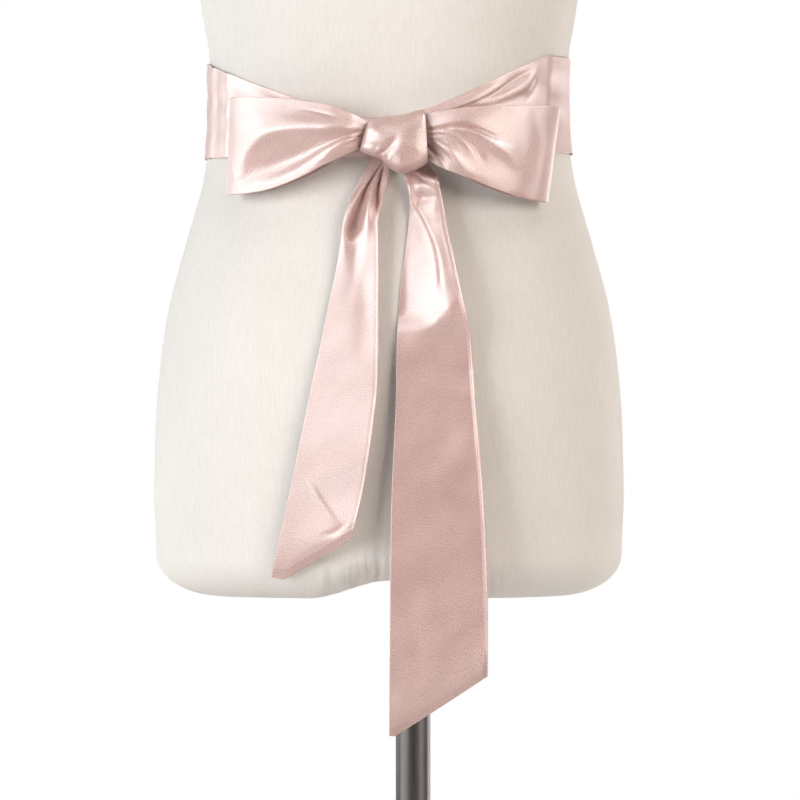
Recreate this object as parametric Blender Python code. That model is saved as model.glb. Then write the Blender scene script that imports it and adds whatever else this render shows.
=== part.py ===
"""A satin sash tied in a bow round the waist of a dress form on a stand.

Metres, +Z up, the front faces -Y. The origin is the middle of the stand's underside, on the pole's axis.
Left and right are the viewer's, looking at the front. The tables are in millimetres.
"""

import math
from collections import namedtuple

import bmesh
import bpy
import numpy as np

MM = 0.001

# The cloth, the gaps between pieces, and the angle from which an edge is drawn sharp
WALL = 1.2
CLEARANCE = 0.3
SHARP_ANGLE = math.radians(50)

# The stand
POLE_RADIUS = 12.7
POLE_SIDES = 24
POLE_CHAMFER = 1.0
BASE_SIDES = 40
BASE_SOCKET_FLOOR = 6.0
BASE_HEIGHT = 44.0
# The foot's outline as radius and height, from the top of its boss out and down to the floor
BASE_OUTLINE = [
    (20.0, BASE_HEIGHT),
    (23.0, 41.0),
    (24.0, 32.0),
    (28.0, 17.0),
    (38.0, 13.0),
    (162.0, 10.0),
    (168.0, 8.0),
    (170.0, 5.0),
    (168.5, 0.0),
]

# The dress form's body stands beside the pole's axis by this much
FORM_X = -17.6
FORM_BOTTOM = 694.0
FORM_TOP = 1500.0
FORM_ROUNDNESS = 2.3
FORM_SIDES = 48
CORNER_HEIGHT = 30.0
CORNER_INSET = 45.0
ARCH_RISE = 13.0
ARCH_HALF_SPAN = 58.0
ARCH_REACH = 46.0
SOCKET_TOP = 770.0
BUST_HEIGHT = 1232.0
BUST_SPREAD = 70.0
BUST_FULLNESS = 13.0
BUST_HALF_WIDTH = 52.0
BUST_HALF_HEIGHT = 56.0
CAP_SIDES = 40
# The neck cap's outline: how far it reaches past the neck's side, and its height above its underside
CAP_OUTLINE = [(-3.0, 0.0), (2.0, 3.0), (2.0, 7.0), (-4.0, 11.0), (-20.0, 12.0)]

FormSection = namedtuple("FormSection", "height half_width front back")
FORM_SECTIONS = [
    FormSection(694, 170.0, 97, 102),
    FormSection(735, 171.0, 104, 113),
    FormSection(765, 172.2, 109, 121),
    FormSection(795, 171.7, 112, 125),
    FormSection(822, 170.9, 114, 124),
    FormSection(852, 168.7, 115, 119),
    FormSection(881, 165.4, 115, 112),
    FormSection(910, 160.2, 113, 104),
    FormSection(940, 152.1, 109, 96),
    FormSection(969, 143.9, 104, 89),
    FormSection(998, 136.0, 98.5, 84),
    FormSection(1028, 132.0, 94.5, 81),
    FormSection(1057, 131.2, 93, 80),
    FormSection(1087, 131.8, 93.5, 82),
    FormSection(1116, 136.3, 97, 86),
    FormSection(1165, 144.0, 105, 94),
    FormSection(1200, 149.0, 110.5, 99),
    FormSection(1235, 153.0, 113, 103),
    FormSection(1270, 156.0, 111.5, 106),
    FormSection(1310, 160.0, 105, 107),
    FormSection(1345, 164.0, 95.5, 105),
    FormSection(1372, 166.0, 87, 100),
    FormSection(1388, 160.0, 80, 95),
    FormSection(1398, 142.0, 75, 91),
    FormSection(1410, 115.0, 69, 84),
    FormSection(1422, 88.0, 62, 76),
    FormSection(1436, 67.0, 54, 67),
    FormSection(1452, 58.0, 50, 60),
    FormSection(1472, 54.0, 48, 56),
    FormSection(1500, 52.0, 47, 54),
]
# The body's rings: inner rings of its underside as shares of the outline, rings round its lower corner,
# bands of even rings (from, to, step), and the rings of the shoulders and the neck
UNDERSIDE_RINGS = (0.45, 0.8)
CORNER_RINGS = 5
RING_BANDS = [(750.0, 990.0, 34.0), (994.0, 1105.0, 18.0), (1130.0, 1370.0, 30.0)]
SHOULDER_RINGS = [1374.0, 1387.0, 1397.0, 1408.0, 1420.0, 1436.0, 1458.0, FORM_TOP]
# How far below the body the cutter of the pole's socket starts
CUTTER_REACH = 20.0


def smoothed(rows, column, at):
    """The value of one column at any place along the rows' first column, on a smooth curve with no overshoot."""
    places = np.array([row[0] for row in rows], float)
    values = np.array([getattr(row, column) for row in rows], float)
    at = np.clip(np.asarray(at, float), places[0], places[-1])
    step = np.diff(places)
    slope = np.diff(values) / step
    tangent = np.concatenate([slope[:1], np.zeros(len(slope) - 1), slope[-1:]])
    if len(slope) > 1:
        before, after = slope[:-1], slope[1:]
        turning = before * after <= 0
        one, two = 2 * step[1:] + step[:-1], step[1:] + 2 * step[:-1]
        safe_before = np.where(turning, 1.0, before)
        safe_after = np.where(turning, 1.0, after)
        blended = (one + two) / (one / safe_before + two / safe_after)
        tangent[1:-1] = np.where(turning, 0.0, blended)
    i = np.clip(np.searchsorted(places, at, side="right") - 1, 0, len(step) - 1)
    t = (at - places[i]) / step[i]
    return (
        values[i] * (1 + 2 * t) * (1 - t) ** 2
        + tangent[i] * step[i] * t * (1 - t) ** 2
        + values[i + 1] * t**2 * (3 - 2 * t)
        - tangent[i + 1] * step[i] * t**2 * (1 - t)
    )


def eased(t):
    """0 before 0, 1 after 1 and a soft step between."""
    t = np.clip(t, 0.0, 1.0)
    return t * t * (3 - 2 * t)


def signed_power(value, power):
    return np.sign(value) * np.abs(value) ** power


def form_surface(turn, height):
    """Points of the body's surface. turn is 0 at the front and a quarter turn at the right side."""
    turn, height = np.broadcast_arrays(np.asarray(turn, float), np.asarray(height, float))
    across = signed_power(np.sin(turn), 2 / FORM_ROUNDNESS)
    forward = signed_power(np.cos(turn), 2 / FORM_ROUNDNESS)
    drop = np.clip((FORM_BOTTOM + CORNER_HEIGHT - height) / CORNER_HEIGHT, 0.0, 1.0)
    inset = CORNER_INSET * (1 - np.sqrt(1 - drop**2))
    half_width = smoothed(FORM_SECTIONS, "half_width", height) - inset
    front = smoothed(FORM_SECTIONS, "front", height) - inset
    back = smoothed(FORM_SECTIONS, "back", height) - inset
    x = half_width * across
    y = np.where(forward > 0, -front * forward, -back * forward)
    rise = ((height - BUST_HEIGHT) / BUST_HALF_HEIGHT) ** 2
    for side in (-1, 1):
        beside = ((x - side * BUST_SPREAD) / BUST_HALF_WIDTH) ** 2
        y = y - BUST_FULLNESS * np.exp(-beside - rise) * np.clip(forward, 0.0, 1.0)
    arch = ARCH_RISE * (1 - eased(np.abs(x) / ARCH_HALF_SPAN))
    lift = arch * (1 - eased((height - FORM_BOTTOM) / ARCH_REACH))
    return np.stack([FORM_X + x, y, height + lift], axis=-1)


def material(name, colour, roughness, metallic=0.0, sheen=0.0):
    made = bpy.data.materials.new(name)
    made.use_nodes = True
    shader = made.node_tree.nodes["Principled BSDF"]
    shader.inputs["Base Color"].default_value = (*colour, 1.0)
    shader.inputs["Roughness"].default_value = roughness
    shader.inputs["Metallic"].default_value = metallic
    shader.inputs["Sheen Weight"].default_value = sheen
    return made


def object_from(name, points, faces, finish):
    """A mesh object from points in millimetres, with its faces turned outwards."""
    mesh = bpy.data.meshes.new(name)
    mesh.from_pydata((np.asarray(points) * MM).tolist(), [], [tuple(int(i) for i in f) for f in faces])
    edit = bmesh.new()
    edit.from_mesh(mesh)
    bmesh.ops.recalc_face_normals(edit, faces=edit.faces)
    edit.to_mesh(mesh)
    edit.free()
    mesh.materials.append(finish)
    made = bpy.data.objects.new(name, mesh)
    bpy.context.scene.collection.objects.link(made)
    mesh.shade_smooth()
    mesh.set_sharp_from_angle(angle=SHARP_ANGLE)
    return made


def turned(name, profile, sides, finish):
    """A solid of revolution about the upright axis. The profile runs from the axis out and back to the axis."""
    angles = np.arange(sides) * 2 * math.pi / sides
    points, faces, rings = [], [], []
    for radius, height in profile:
        if radius == 0:
            rings.append([len(points)] * sides)
            points.append((0.0, 0.0, height))
            continue
        rings.append(list(range(len(points), len(points) + sides)))
        points += [(radius * math.cos(a), radius * math.sin(a), height) for a in angles]
    for lower, upper in zip(rings, rings[1:]):
        for i in range(sides):
            j = (i + 1) % sides
            corners = dict.fromkeys((lower[i], lower[j], upper[j], upper[i]))
            faces.append(tuple(corners))
    return object_from(name, points, faces, finish)


def build_stand(finish):
    bore = POLE_RADIUS + CLEARANCE
    socket = [(0, BASE_SOCKET_FLOOR), (bore, BASE_SOCKET_FLOOR), (bore, BASE_HEIGHT)]
    turned("stand_base", socket + BASE_OUTLINE + [(0, 0)], BASE_SIDES, finish)
    pole_bottom, pole_top = BASE_SOCKET_FLOOR + CLEARANCE, SOCKET_TOP - CLEARANCE
    pole_profile = [
        (0, pole_bottom),
        (POLE_RADIUS, pole_bottom),
        (POLE_RADIUS, pole_top - POLE_CHAMFER),
        (POLE_RADIUS - POLE_CHAMFER, pole_top),
        (0, pole_top),
    ]
    turned("stand_pole", pole_profile, POLE_SIDES, finish)


def form_heights():
    """Heights of the body's rings, closer together where it curves fast and under the sash."""
    corner = FORM_BOTTOM + CORNER_HEIGHT * (1 - np.cos(np.linspace(0.0, math.pi / 2, CORNER_RINGS)))
    bands = [np.arange(*band) for band in RING_BANDS]
    return np.concatenate([corner, *bands, SHOULDER_RINGS])


def build_form(cover, metal):
    turns = np.arange(FORM_SIDES) * 2 * math.pi / FORM_SIDES
    rings = [form_surface(turns, height) for height in form_heights()]
    underside = []
    for share in UNDERSIDE_RINGS:
        flat = rings[0].copy()
        flat[:, :2] = [FORM_X, 0] + (flat[:, :2] - [FORM_X, 0]) * share
        flat[:, 2] = FORM_BOTTOM + ARCH_RISE * (1 - eased(np.abs(flat[:, 0] - FORM_X) / ARCH_HALF_SPAN))
        underside.append(flat)
    rings = underside + rings
    points = np.concatenate(rings)
    low_centre, high_centre = len(points), len(points) + 1
    points = np.concatenate([points, [[FORM_X, 0, FORM_BOTTOM + ARCH_RISE], [FORM_X, 0, FORM_TOP]]])
    faces = []
    for ring in range(len(rings) - 1):
        for i in range(FORM_SIDES):
            j = (i + 1) % FORM_SIDES
            low, high = ring * FORM_SIDES, (ring + 1) * FORM_SIDES
            faces.append((low + i, low + j, high + j, high + i))
    last = (len(rings) - 1) * FORM_SIDES
    for i in range(FORM_SIDES):
        j = (i + 1) % FORM_SIDES
        faces.append((low_centre, j, i))
        faces.append((high_centre, last + i, last + j))
    body = object_from("form_torso", points, faces, cover)

    socket_radius, socket_from = POLE_RADIUS + CLEARANCE, FORM_BOTTOM - CUTTER_REACH
    cutter_profile = [
        (0, socket_from),
        (socket_radius, socket_from),
        (socket_radius, SOCKET_TOP),
        (0, SOCKET_TOP),
    ]
    cutter = turned("socket_cutter", cutter_profile, POLE_SIDES, cover)
    cutter.hide_render = True
    cutter.display_type = "WIRE"
    socket = body.modifiers.new("pole_socket", "BOOLEAN")
    socket.operation = "DIFFERENCE"
    socket.object = cutter

    neck = smoothed(FORM_SECTIONS, "half_width", FORM_TOP)
    depth = smoothed(FORM_SECTIONS, "back", FORM_TOP)
    cap_base = FORM_TOP + CLEARANCE
    cap_side = [(neck + out, cap_base + up) for out, up in CAP_OUTLINE]
    cap_profile = [(0, cap_side[0][1]), *cap_side, (0, cap_side[-1][1])]
    cap = turned("form_neck_cap", cap_profile, CAP_SIDES, metal)
    cap.location = (FORM_X * MM, 0.0, 0.0)
    cap.scale = (1.0, float(depth / neck), 1.0)


# The sash. A fold is a soft ridge (deep > 0, towards the viewer) or trough that starts at the knot.
# Its places across the strip run from 0 at the upper or left edge to 1 at the lower or right edge.
Fold = namedtuple("Fold", "knot_at mid_at end_at knot_deep mid_deep lean width reach")
# A fold reaches its mid depth and starts to fade at this share of its reach, and leans fully from the second
FOLD_MIDDLE = 0.5
FOLD_LEAN_FROM = 0.08


def fold_shift(folds, across, along):
    """(shift along the normal, shift towards the strip's far edge) in millimetres, on a grid of places."""
    w, s = np.meshgrid(across, along, indexing="ij")
    out, sideways = np.zeros_like(w), np.zeros_like(w)
    for fold in folds:
        run = np.clip(s / fold.reach, 0.0, 1.0)
        middle = 2 * fold.mid_at - (fold.knot_at + fold.end_at) / 2
        centre = fold.knot_at * (1 - run) ** 2 + 2 * middle * run * (1 - run) + fold.end_at * run**2
        fade = 1 - eased((run - FOLD_MIDDLE) / (1 - FOLD_MIDDLE))
        deep = (fold.knot_deep + (fold.mid_deep - fold.knot_deep) * eased(run / FOLD_MIDDLE)) * fade
        bump = np.exp(-(((w - centre) / fold.width) ** 2))
        out += deep * bump
        sideways += fold.lean * bump * fade * eased(run / FOLD_LEAN_FROM)
    return out, sideways


def unit(vectors):
    return vectors / np.maximum(np.linalg.norm(vectors, axis=-1, keepdims=True), 1e-9)


def grid_frames(grid, closed=False):
    """(normals, directions across) of a grid whose first axis runs across the strip and second along it."""
    if closed:
        along = np.roll(grid, -1, axis=1) - np.roll(grid, 1, axis=1)
    else:
        along = np.gradient(grid, axis=1)
    across = np.gradient(grid, axis=0)
    return unit(np.cross(across, along)), unit(across)


def wall_object(name, grid, finish, closed=False, thickness=WALL):
    """A cloth wall of even thickness on both sides of a grid, with square rims. closed joins its ends."""
    normal, _ = grid_frames(grid, closed)
    rows, columns = grid.shape[:2]
    shell = np.concatenate([grid + normal * thickness / 2, grid - normal * thickness / 2])
    faces = []

    def patch(i, j, k, m):
        """The four corners of one patch, from row i, column j to row k, column m."""
        return [row * columns + column % columns for row, column in ((i, j), (i, m), (k, m), (k, j))]

    last = columns if closed else columns - 1
    for j in range(last):
        for i in range(rows - 1):
            ends = grid[i, j], grid[i + 1, (j + 1) % columns], grid[i, (j + 1) % columns], grid[i + 1, j]
            down = np.linalg.norm(ends[0] - ends[1]) <= np.linalg.norm(ends[2] - ends[3])
            for side in (0, rows):
                a, b, c, d = patch(side + i, j, side + i + 1, j + 1)
                pair = ((a, b, c), (a, c, d)) if down else ((a, b, d), (b, c, d))
                faces += pair if side == 0 else [face[::-1] for face in pair]
        faces.append(patch(rows, j, 0, j + 1))
        faces.append(patch(rows - 1, j, 2 * rows - 1, j + 1))
    if not closed:
        for i in range(rows - 1):
            corners = (i, i + 1, rows + i + 1, rows + i)
            faces.append([row * columns for row in corners])
            faces.append([row * columns + columns - 1 for row in reversed(corners)])
    return object_from(name, shell.reshape(-1, 3), faces, finish)


# The knot's middle, in the front view
KNOT_X = -13.8
KNOT_Z = 1018.9

# The stretch round the waist, by its turn from the front in degrees, right side first. It is a closed ring,
# since the knot hides where its ends cross.
WaistRow = namedtuple("WaistRow", "turn top bottom pleat")
WAIST_ROWS = [
    WaistRow(0, 1037, 1008, 1.1),
    WaistRow(10, 1044, 1008, 1.3),
    WaistRow(18, 1052, 1009, 1.6),
    WaistRow(30, 1064, 1010, 1.0),
    WaistRow(45, 1077, 1012, 0.5),
    WaistRow(60, 1085, 1015, 0.2),
    WaistRow(90, 1086, 1017, 0.0),
    WaistRow(180, 1087, 1018, 0.0),
    WaistRow(270, 1084, 1013, 0.3),
    WaistRow(300, 1073, 1011, 0.4),
    WaistRow(315, 1064, 1010, 0.8),
    WaistRow(330, 1054, 1009, 1.2),
    WaistRow(342, 1044, 1008, 1.6),
    WaistRow(350, 1038, 1008, 1.2),
    WaistRow(360, 1037, 1008, 1.1),
]
# Gathers across the strip, and the cloth's distance from the body
WAIST_PLEATS = 3
WAIST_GAP = 0.5


def waist_grid(across_count, along_count):
    """The middle of the cloth round the waist: it hugs the body and is gathered towards the knot."""
    turns = np.arange(along_count) * 360.0 / along_count
    w = np.linspace(0.0, 1.0, across_count)[:, None]
    top = smoothed(WAIST_ROWS, "top", turns)
    bottom = smoothed(WAIST_ROWS, "bottom", turns)
    pleat = smoothed(WAIST_ROWS, "pleat", turns)
    height = top + (bottom - top) * w
    skin = form_surface(np.radians(turns)[None, :], height)
    normal, _ = grid_frames(skin, closed=True)
    middle = WAIST_GAP + WALL / 2
    wave = pleat * (1 - np.cos(2 * math.pi * WAIST_PLEATS * w))
    return skin + normal * (middle + wave)[..., None]


# A bow loop, from the knot outwards: its upper and lower edge, how far in front of the pole's axis its
# middle is, and half the space between its layers along the middle and at the edges. slant moves the
# upper edge outwards and the lower edge inwards.
LoopRow = namedtuple("LoopRow", "out top bottom middle half edge_half slant")
LEFT_LOOP = [
    LoopRow(8, 11.6, -4.0, 113.4, 3.4, 1.5, -4),
    LoopRow(20, 12.1, -4.5, 113.4, 3.4, 1.5, -4),
    LoopRow(22, 13.6, -4.9, 113.6, 3.6, 1.6, -4),
    LoopRow(25, 15.2, -6.4, 113.8, 4.6, 2.0, -4),
    LoopRow(33, 19.0, -10.4, 114.4, 7.0, 3.6, -3),
    LoopRow(42, 23.0, -15.0, 114.4, 9.0, 5.2, -2),
    LoopRow(54, 25.3, -21.3, 113.0, 10.8, 6.8, -2),
    LoopRow(76, 28.4, -31.5, 106.6, 11.4, 7.8, -2),
    LoopRow(92, 29.6, -37.2, 99.0, 9.8, 7.0, -2),
    LoopRow(106, 30.2, -38.7, 90.6, 6.6, 5.4, -2),
    LoopRow(117.5, 30.6, -38.9, 83.0, 2.8, 2.8, -2.5),
]
RIGHT_LOOP = [
    LoopRow(8, 14.0, -9.0, 114.2, 4.0, 1.6, 0),
    LoopRow(18, 17.0, -11.2, 114.2, 4.0, 1.6, 0),
    LoopRow(22, 18.9, -12.4, 114.4, 4.2, 1.8, 0),
    LoopRow(25, 19.6, -14.2, 114.8, 5.0, 2.2, 0),
    LoopRow(32, 20.8, -18.4, 115.2, 7.4, 3.8, 0),
    LoopRow(40, 22.1, -21.7, 115.0, 9.4, 5.4, 1),
    LoopRow(50, 23.5, -25.6, 113.4, 10.8, 6.8, 2),
    LoopRow(69, 24.9, -33.3, 107.8, 11.2, 7.6, 4),
    LoopRow(86, 25.7, -38.2, 100.2, 9.8, 7.0, 6),
    LoopRow(100, 26.1, -40.2, 91.4, 6.8, 5.6, 8),
    LoopRow(113.5, 26.7, -41.5, 82.2, 2.8, 2.8, 9),
]
# How suddenly the layers meet at the loop's outer fold, and how far the back layer is tucked up
TIP_SQUARENESS = 30
BACK_TUCK = 2.0
LEFT_FRONT_FOLDS = [
    Fold(0.24, 0.30, 0.34, 0.3, 2.8, 0.0, 0.20, 1.0),
    Fold(0.50, 0.62, 0.74, -0.9, -5.5, 0.0, 0.11, 1.0),
    Fold(0.70, 0.80, 0.91, 0.6, 3.6, -1.6, 0.10, 1.0),
]
RIGHT_FRONT_FOLDS = [
    Fold(0.16, 0.18, 0.20, 0.3, 1.4, 0.0, 0.17, 0.8),
    Fold(0.40, 0.36, 0.46, -0.8, -3.0, 0.0, 0.05, 0.75),
    Fold(0.52, 0.50, 0.62, 0.4, 3.2, -0.8, 0.07, 0.85),
    Fold(0.68, 0.66, 0.72, -0.8, -4.0, 0.0, 0.07, 0.8),
    Fold(0.82, 0.83, 0.86, 0.4, 3.0, -0.8, 0.07, 0.95),
]
BACK_FOLDS = [
    Fold(0.22, 0.25, 0.28, 0.2, 1.8, 0.0, 0.12, 0.7),
    Fold(0.50, 0.52, 0.55, -0.3, -2.4, 0.0, 0.12, 0.7),
    Fold(0.78, 0.78, 0.78, 0.2, 1.8, 0.0, 0.12, 0.7),
]


def loop_grid(rows, side, front_folds, across_count, along_count):
    """The middle of a loop's cloth: the front layer out to the tip and the back layer to the knot again."""
    length = rows[-1].out - rows[0].out
    share = np.sin(np.linspace(0.0, math.pi / 2, along_count))
    out = rows[0].out + length * share
    w = np.linspace(0.0, 1.0, across_count)[:, None]
    top, bottom = smoothed(rows, "top", out), smoothed(rows, "bottom", out)
    slant, middle = smoothed(rows, "slant", out), smoothed(rows, "middle", out)
    centre, edge = smoothed(rows, "half", out), smoothed(rows, "edge_half", out)
    rounding = np.sqrt(np.maximum(1 - share**TIP_SQUARENESS, 0.0))
    half = (edge + (centre - edge) * (1 - (2 * w - 1) ** 2)) * rounding
    fall = -np.gradient(middle, out)
    outwards, forward = fall / np.hypot(fall, 1.0), 1 / np.hypot(fall, 1.0)
    layers = []
    for facing, folds, tuck in ((1.0, front_folds, 0.0), (-1.0, BACK_FOLDS, BACK_TUCK)):
        z = KNOT_Z + top + (bottom - top) * w + tuck * w * 4 * share * (1 - share)
        x = KNOT_X + side * (out + slant * (0.5 - w) + facing * half * outwards)
        flat = np.stack([x, -(middle + facing * half * forward), z], axis=-1)
        shift, sideways = fold_shift(folds, w[:, 0], share)
        towards = np.stack([0 * x, -facing * np.ones_like(x), 0 * x], axis=-1)
        _, down = grid_frames(flat)
        layers.append(flat + towards * shift[..., None] + down * sideways[..., None])
    return np.concatenate([layers[0], layers[1][:, -2::-1]], axis=1)


# The knot's wrap, from its left edge to its right edge: the ends of each section and its bulge
KnotRow = namedtuple("KnotRow", "share top_x top bottom_x bottom front back")
KNOT_ROWS = [
    KnotRow(0.00, -18.0, 13.6, -24.0, -6.6, 122.5, 103.6),
    KnotRow(0.08, -15.2, 15.0, -21.6, -7.6, 125.5, 103.0),
    KnotRow(0.22, -9.4, 16.2, -15.4, -10.0, 128.5, 102.8),
    KnotRow(0.36, -3.8, 17.0, -9.0, -12.4, 129.5, 102.8),
    KnotRow(0.50, 1.6, 17.4, -3.2, -18.6, 131.0, 102.8),
    KnotRow(0.66, 8.6, 18.5, 4.8, -22.4, 132.0, 102.8),
    KnotRow(0.82, 15.4, 20.6, 13.6, -20.4, 131.0, 102.8),
    KnotRow(0.94, 20.4, 21.6, 21.0, -16.8, 128.0, 103.0),
    KnotRow(1.00, 22.0, 20.6, 23.6, -14.8, 126.0, 103.6),
]
# How square the wrap's section is, and how far its upper front lies back
KNOT_SQUARENESS = 2.5
KNOT_TILT = 0.22
# Creases of the knot's front in the front view: ends, depth and half width
Crease = namedtuple("Crease", "x0 z0 x1 z1 deep width")
KNOT_CREASES = [
    Crease(-21, 8, -13, 6, 0.8, 3.2),
    Crease(-13, 6, -6, 1, 1.2, 3.4),
    Crease(-6, 1, 4, -1, 0.8, 4.0),
    Crease(4, -1, 24, -9, 0.9, 5.0),
    Crease(-22, -1, -13, -5, -1.3, 2.6),
    Crease(-21, -6, -10, -11, 0.9, 2.6),
    Crease(-8, -11, -3, -5, -3.2, 2.6),
    Crease(-3, -5, 1, 0, -1.2, 3.0),
]


def crease_shift(points, creases):
    """How far each point moves towards the viewer, for soft troughs and ridges drawn in the front view."""
    x, z = points[..., 0] - KNOT_X, points[..., 2] - KNOT_Z
    shift = np.zeros_like(x)
    for c in creases:
        along = np.array([c.x1 - c.x0, c.z1 - c.z0])
        length = np.hypot(*along)
        run = ((x - c.x0) * along[0] + (z - c.z0) * along[1]) / length**2
        held = np.clip(run, 0.0, 1.0)
        away = np.hypot(x - c.x0 - held * along[0], z - c.z0 - held * along[1])
        shift += c.deep * np.exp(-((away / c.width) ** 2))
    return shift


def knot_grid(across_count, round_count):
    """The middle of the wrap's cloth: closed rings round the necks of the loops."""
    share = np.linspace(0.0, 1.0, across_count)[:, None]
    angle = np.arange(round_count) * 2 * math.pi / round_count
    up = signed_power(np.sin(angle), 2 / KNOT_SQUARENESS)
    ahead = signed_power(np.cos(angle), 2 / KNOT_SQUARENESS)
    top, bottom = smoothed(KNOT_ROWS, "top", share), smoothed(KNOT_ROWS, "bottom", share)
    top_x, bottom_x = smoothed(KNOT_ROWS, "top_x", share), smoothed(KNOT_ROWS, "bottom_x", share)
    front, back = smoothed(KNOT_ROWS, "front", share), smoothed(KNOT_ROWS, "back", share)
    z = (top + bottom) / 2 + (top - bottom) / 2 * up
    x = (top_x + bottom_x) / 2 + (top_x - bottom_x) / 2 * up
    tilt = np.where(ahead > 0, 1 - KNOT_TILT * up, 1.0)
    depth = (front + back) / 2 + (front - back) / 2 * ahead * tilt
    grid = np.stack([KNOT_X + x, -depth, KNOT_Z + z], axis=-1)
    facing = np.clip(ahead, 0.0, 1.0)
    grid[..., 1] -= crease_shift(grid, KNOT_CREASES) * facing
    return grid


# A tail, downwards from the knot's middle: its left and right edges, and how far they are in front
TailRow = namedtuple("TailRow", "down left right left_front right_front")
LEFT_TAIL = [
    TailRow(4, -15.0, -3.0, 100.9, 100.9),
    TailRow(9, -16.4, -2.6, 101.3, 101.3),
    TailRow(14, -18.0, -2.6, 101.9, 101.9),
    TailRow(27, -25.2, -3.9, 102.8, 103.8),
    TailRow(39, -31.0, -7.3, 105.5, 108.5),
    TailRow(55, -35.4, -11.0, 108.5, 113.5),
    TailRow(81, -39.2, -10.6, 112.5, 120.0),
    TailRow(122, -47.4, -10.7, 116.5, 128.0),
    TailRow(168, -57.0, -11.2, 117.5, 134.0),
    TailRow(200, -63.7, -14.5, 117.0, 137.5),
    TailRow(243, -72.8, -21.0, 113.0, 141.0),
    TailRow(277, -80.3, -29.0, 110.5, 142.0),
    TailRow(307, -86.0, -35.5, 110.0, 142.5),
]
RIGHT_TAIL = [
    TailRow(4, 7.0, 22.0, 100.7, 100.7),
    TailRow(16, 6.8, 25.0, 101.0, 101.0),
    TailRow(22, 6.7, 29.4, 103.6, 103.6),
    TailRow(27, 8.2, 31.0, 108.5, 108.5),
    TailRow(34, 10.0, 32.6, 108.0, 108.0),
    TailRow(42, 11.2, 34.4, 106.2, 106.2),
    TailRow(60, 9.8, 37.2, 109.0, 108.0),
    TailRow(81, 7.3, 42.0, 112.6, 111.5),
    TailRow(104, 4.3, 46.9, 115.4, 113.8),
    TailRow(134, 2.0, 54.0, 117.6, 116.0),
    TailRow(182, 1.2, 57.2, 118.0, 116.5),
    TailRow(252, -1.8, 63.0, 116.5, 114.5),
    TailRow(322, -2.8, 65.8, 115.0, 114.0),
    TailRow(417, -3.4, 65.9, 114.0, 113.0),
]
# The slanted cut ends: the tip at a tail's left edge and the corner at its right edge
LEFT_TAIL_TIP = 307.0
LEFT_TAIL_CORNER = 278.0
RIGHT_TAIL_TIP = 417.0
RIGHT_TAIL_CORNER = 372.0
# How softly a tail is eased off the body, in millimetres
OVER_SOFTNESS = 1.0
LEFT_TAIL_FOLDS = [
    Fold(0.20, 0.17, 0.15, 0.1, 1.8, 0.0, 0.13, 0.42),
    Fold(0.46, 0.46, 0.36, -0.2, -5.2, 0.0, 0.11, 0.44),
    Fold(0.66, 0.68, 0.62, 0.1, 2.4, 0.0, 0.10, 0.40),
    Fold(0.85, 0.87, 0.88, -0.2, -3.0, 0.0, 0.07, 0.28),
]
RIGHT_TAIL_FOLDS = [
    Fold(-0.95, 0.50, 0.42, -0.6, -2.6, 0.0, 0.13, 0.34),
    Fold(-0.78, 0.68, 0.62, 0.4, 2.6, -0.6, 0.12, 0.36),
    Fold(0.85, 0.90, 0.95, -0.1, -1.2, 0.0, 0.10, 0.35),
]


def over_the_form(points, closest):
    """The points, eased forwards where they would come closer to the body's front than this."""
    rise, beside = points[..., 2], points[..., 0] - FORM_X
    half_width = smoothed(FORM_SECTIONS, "half_width", rise)
    front = smoothed(FORM_SECTIONS, "front", rise)
    inside = np.clip(1 - np.abs(beside / half_width) ** FORM_ROUNDNESS, 0.0, 1.0)
    least = front * inside ** (1 / FORM_ROUNDNESS) + closest
    least = np.where(rise > FORM_BOTTOM, least, 0.0)
    depth = -points[..., 1]
    eased_depth = (depth + least + np.hypot(depth - least, OVER_SOFTNESS)) / 2
    return np.stack([points[..., 0], -eased_depth, points[..., 2]], axis=-1)


def tail_grid(rows, tip, corner, folds, across_count, along_count):
    """The middle of a tail's cloth, cut slantwise at its end: the left edge is the longer one."""
    w = np.linspace(0.0, 1.0, across_count)[:, None]
    share = np.linspace(0.0, 1.0, along_count)[None, :]
    end = tip + (corner - tip) * w
    down = rows[0].down + (end - rows[0].down) * share
    left, right = smoothed(rows, "left", down), smoothed(rows, "right", down)
    near_left, near_right = smoothed(rows, "left_front", down), smoothed(rows, "right_front", down)
    x = KNOT_X + left + (right - left) * w
    y = -(near_left + (near_right - near_left) * w)
    base = np.stack([x, y, KNOT_Z - down], axis=-1)
    shift, sideways = fold_shift(folds, w[:, 0], share[0])
    towards = np.array([0.0, -1.0, 0.0])
    _, side = grid_frames(base)
    hung = base + towards * shift[..., None] + side * sideways[..., None]
    return over_the_form(hung, WALL / 2 + CLEARANCE)


# Rows of points across and along each stretch of cloth
WAIST_MESH = (9, 72)
LEFT_LOOP_MESH = (15, 15)
RIGHT_LOOP_MESH = (19, 14)
KNOT_MESH = (13, 28)
LEFT_TAIL_MESH = (13, 23)
RIGHT_TAIL_MESH = (13, 25)


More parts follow.
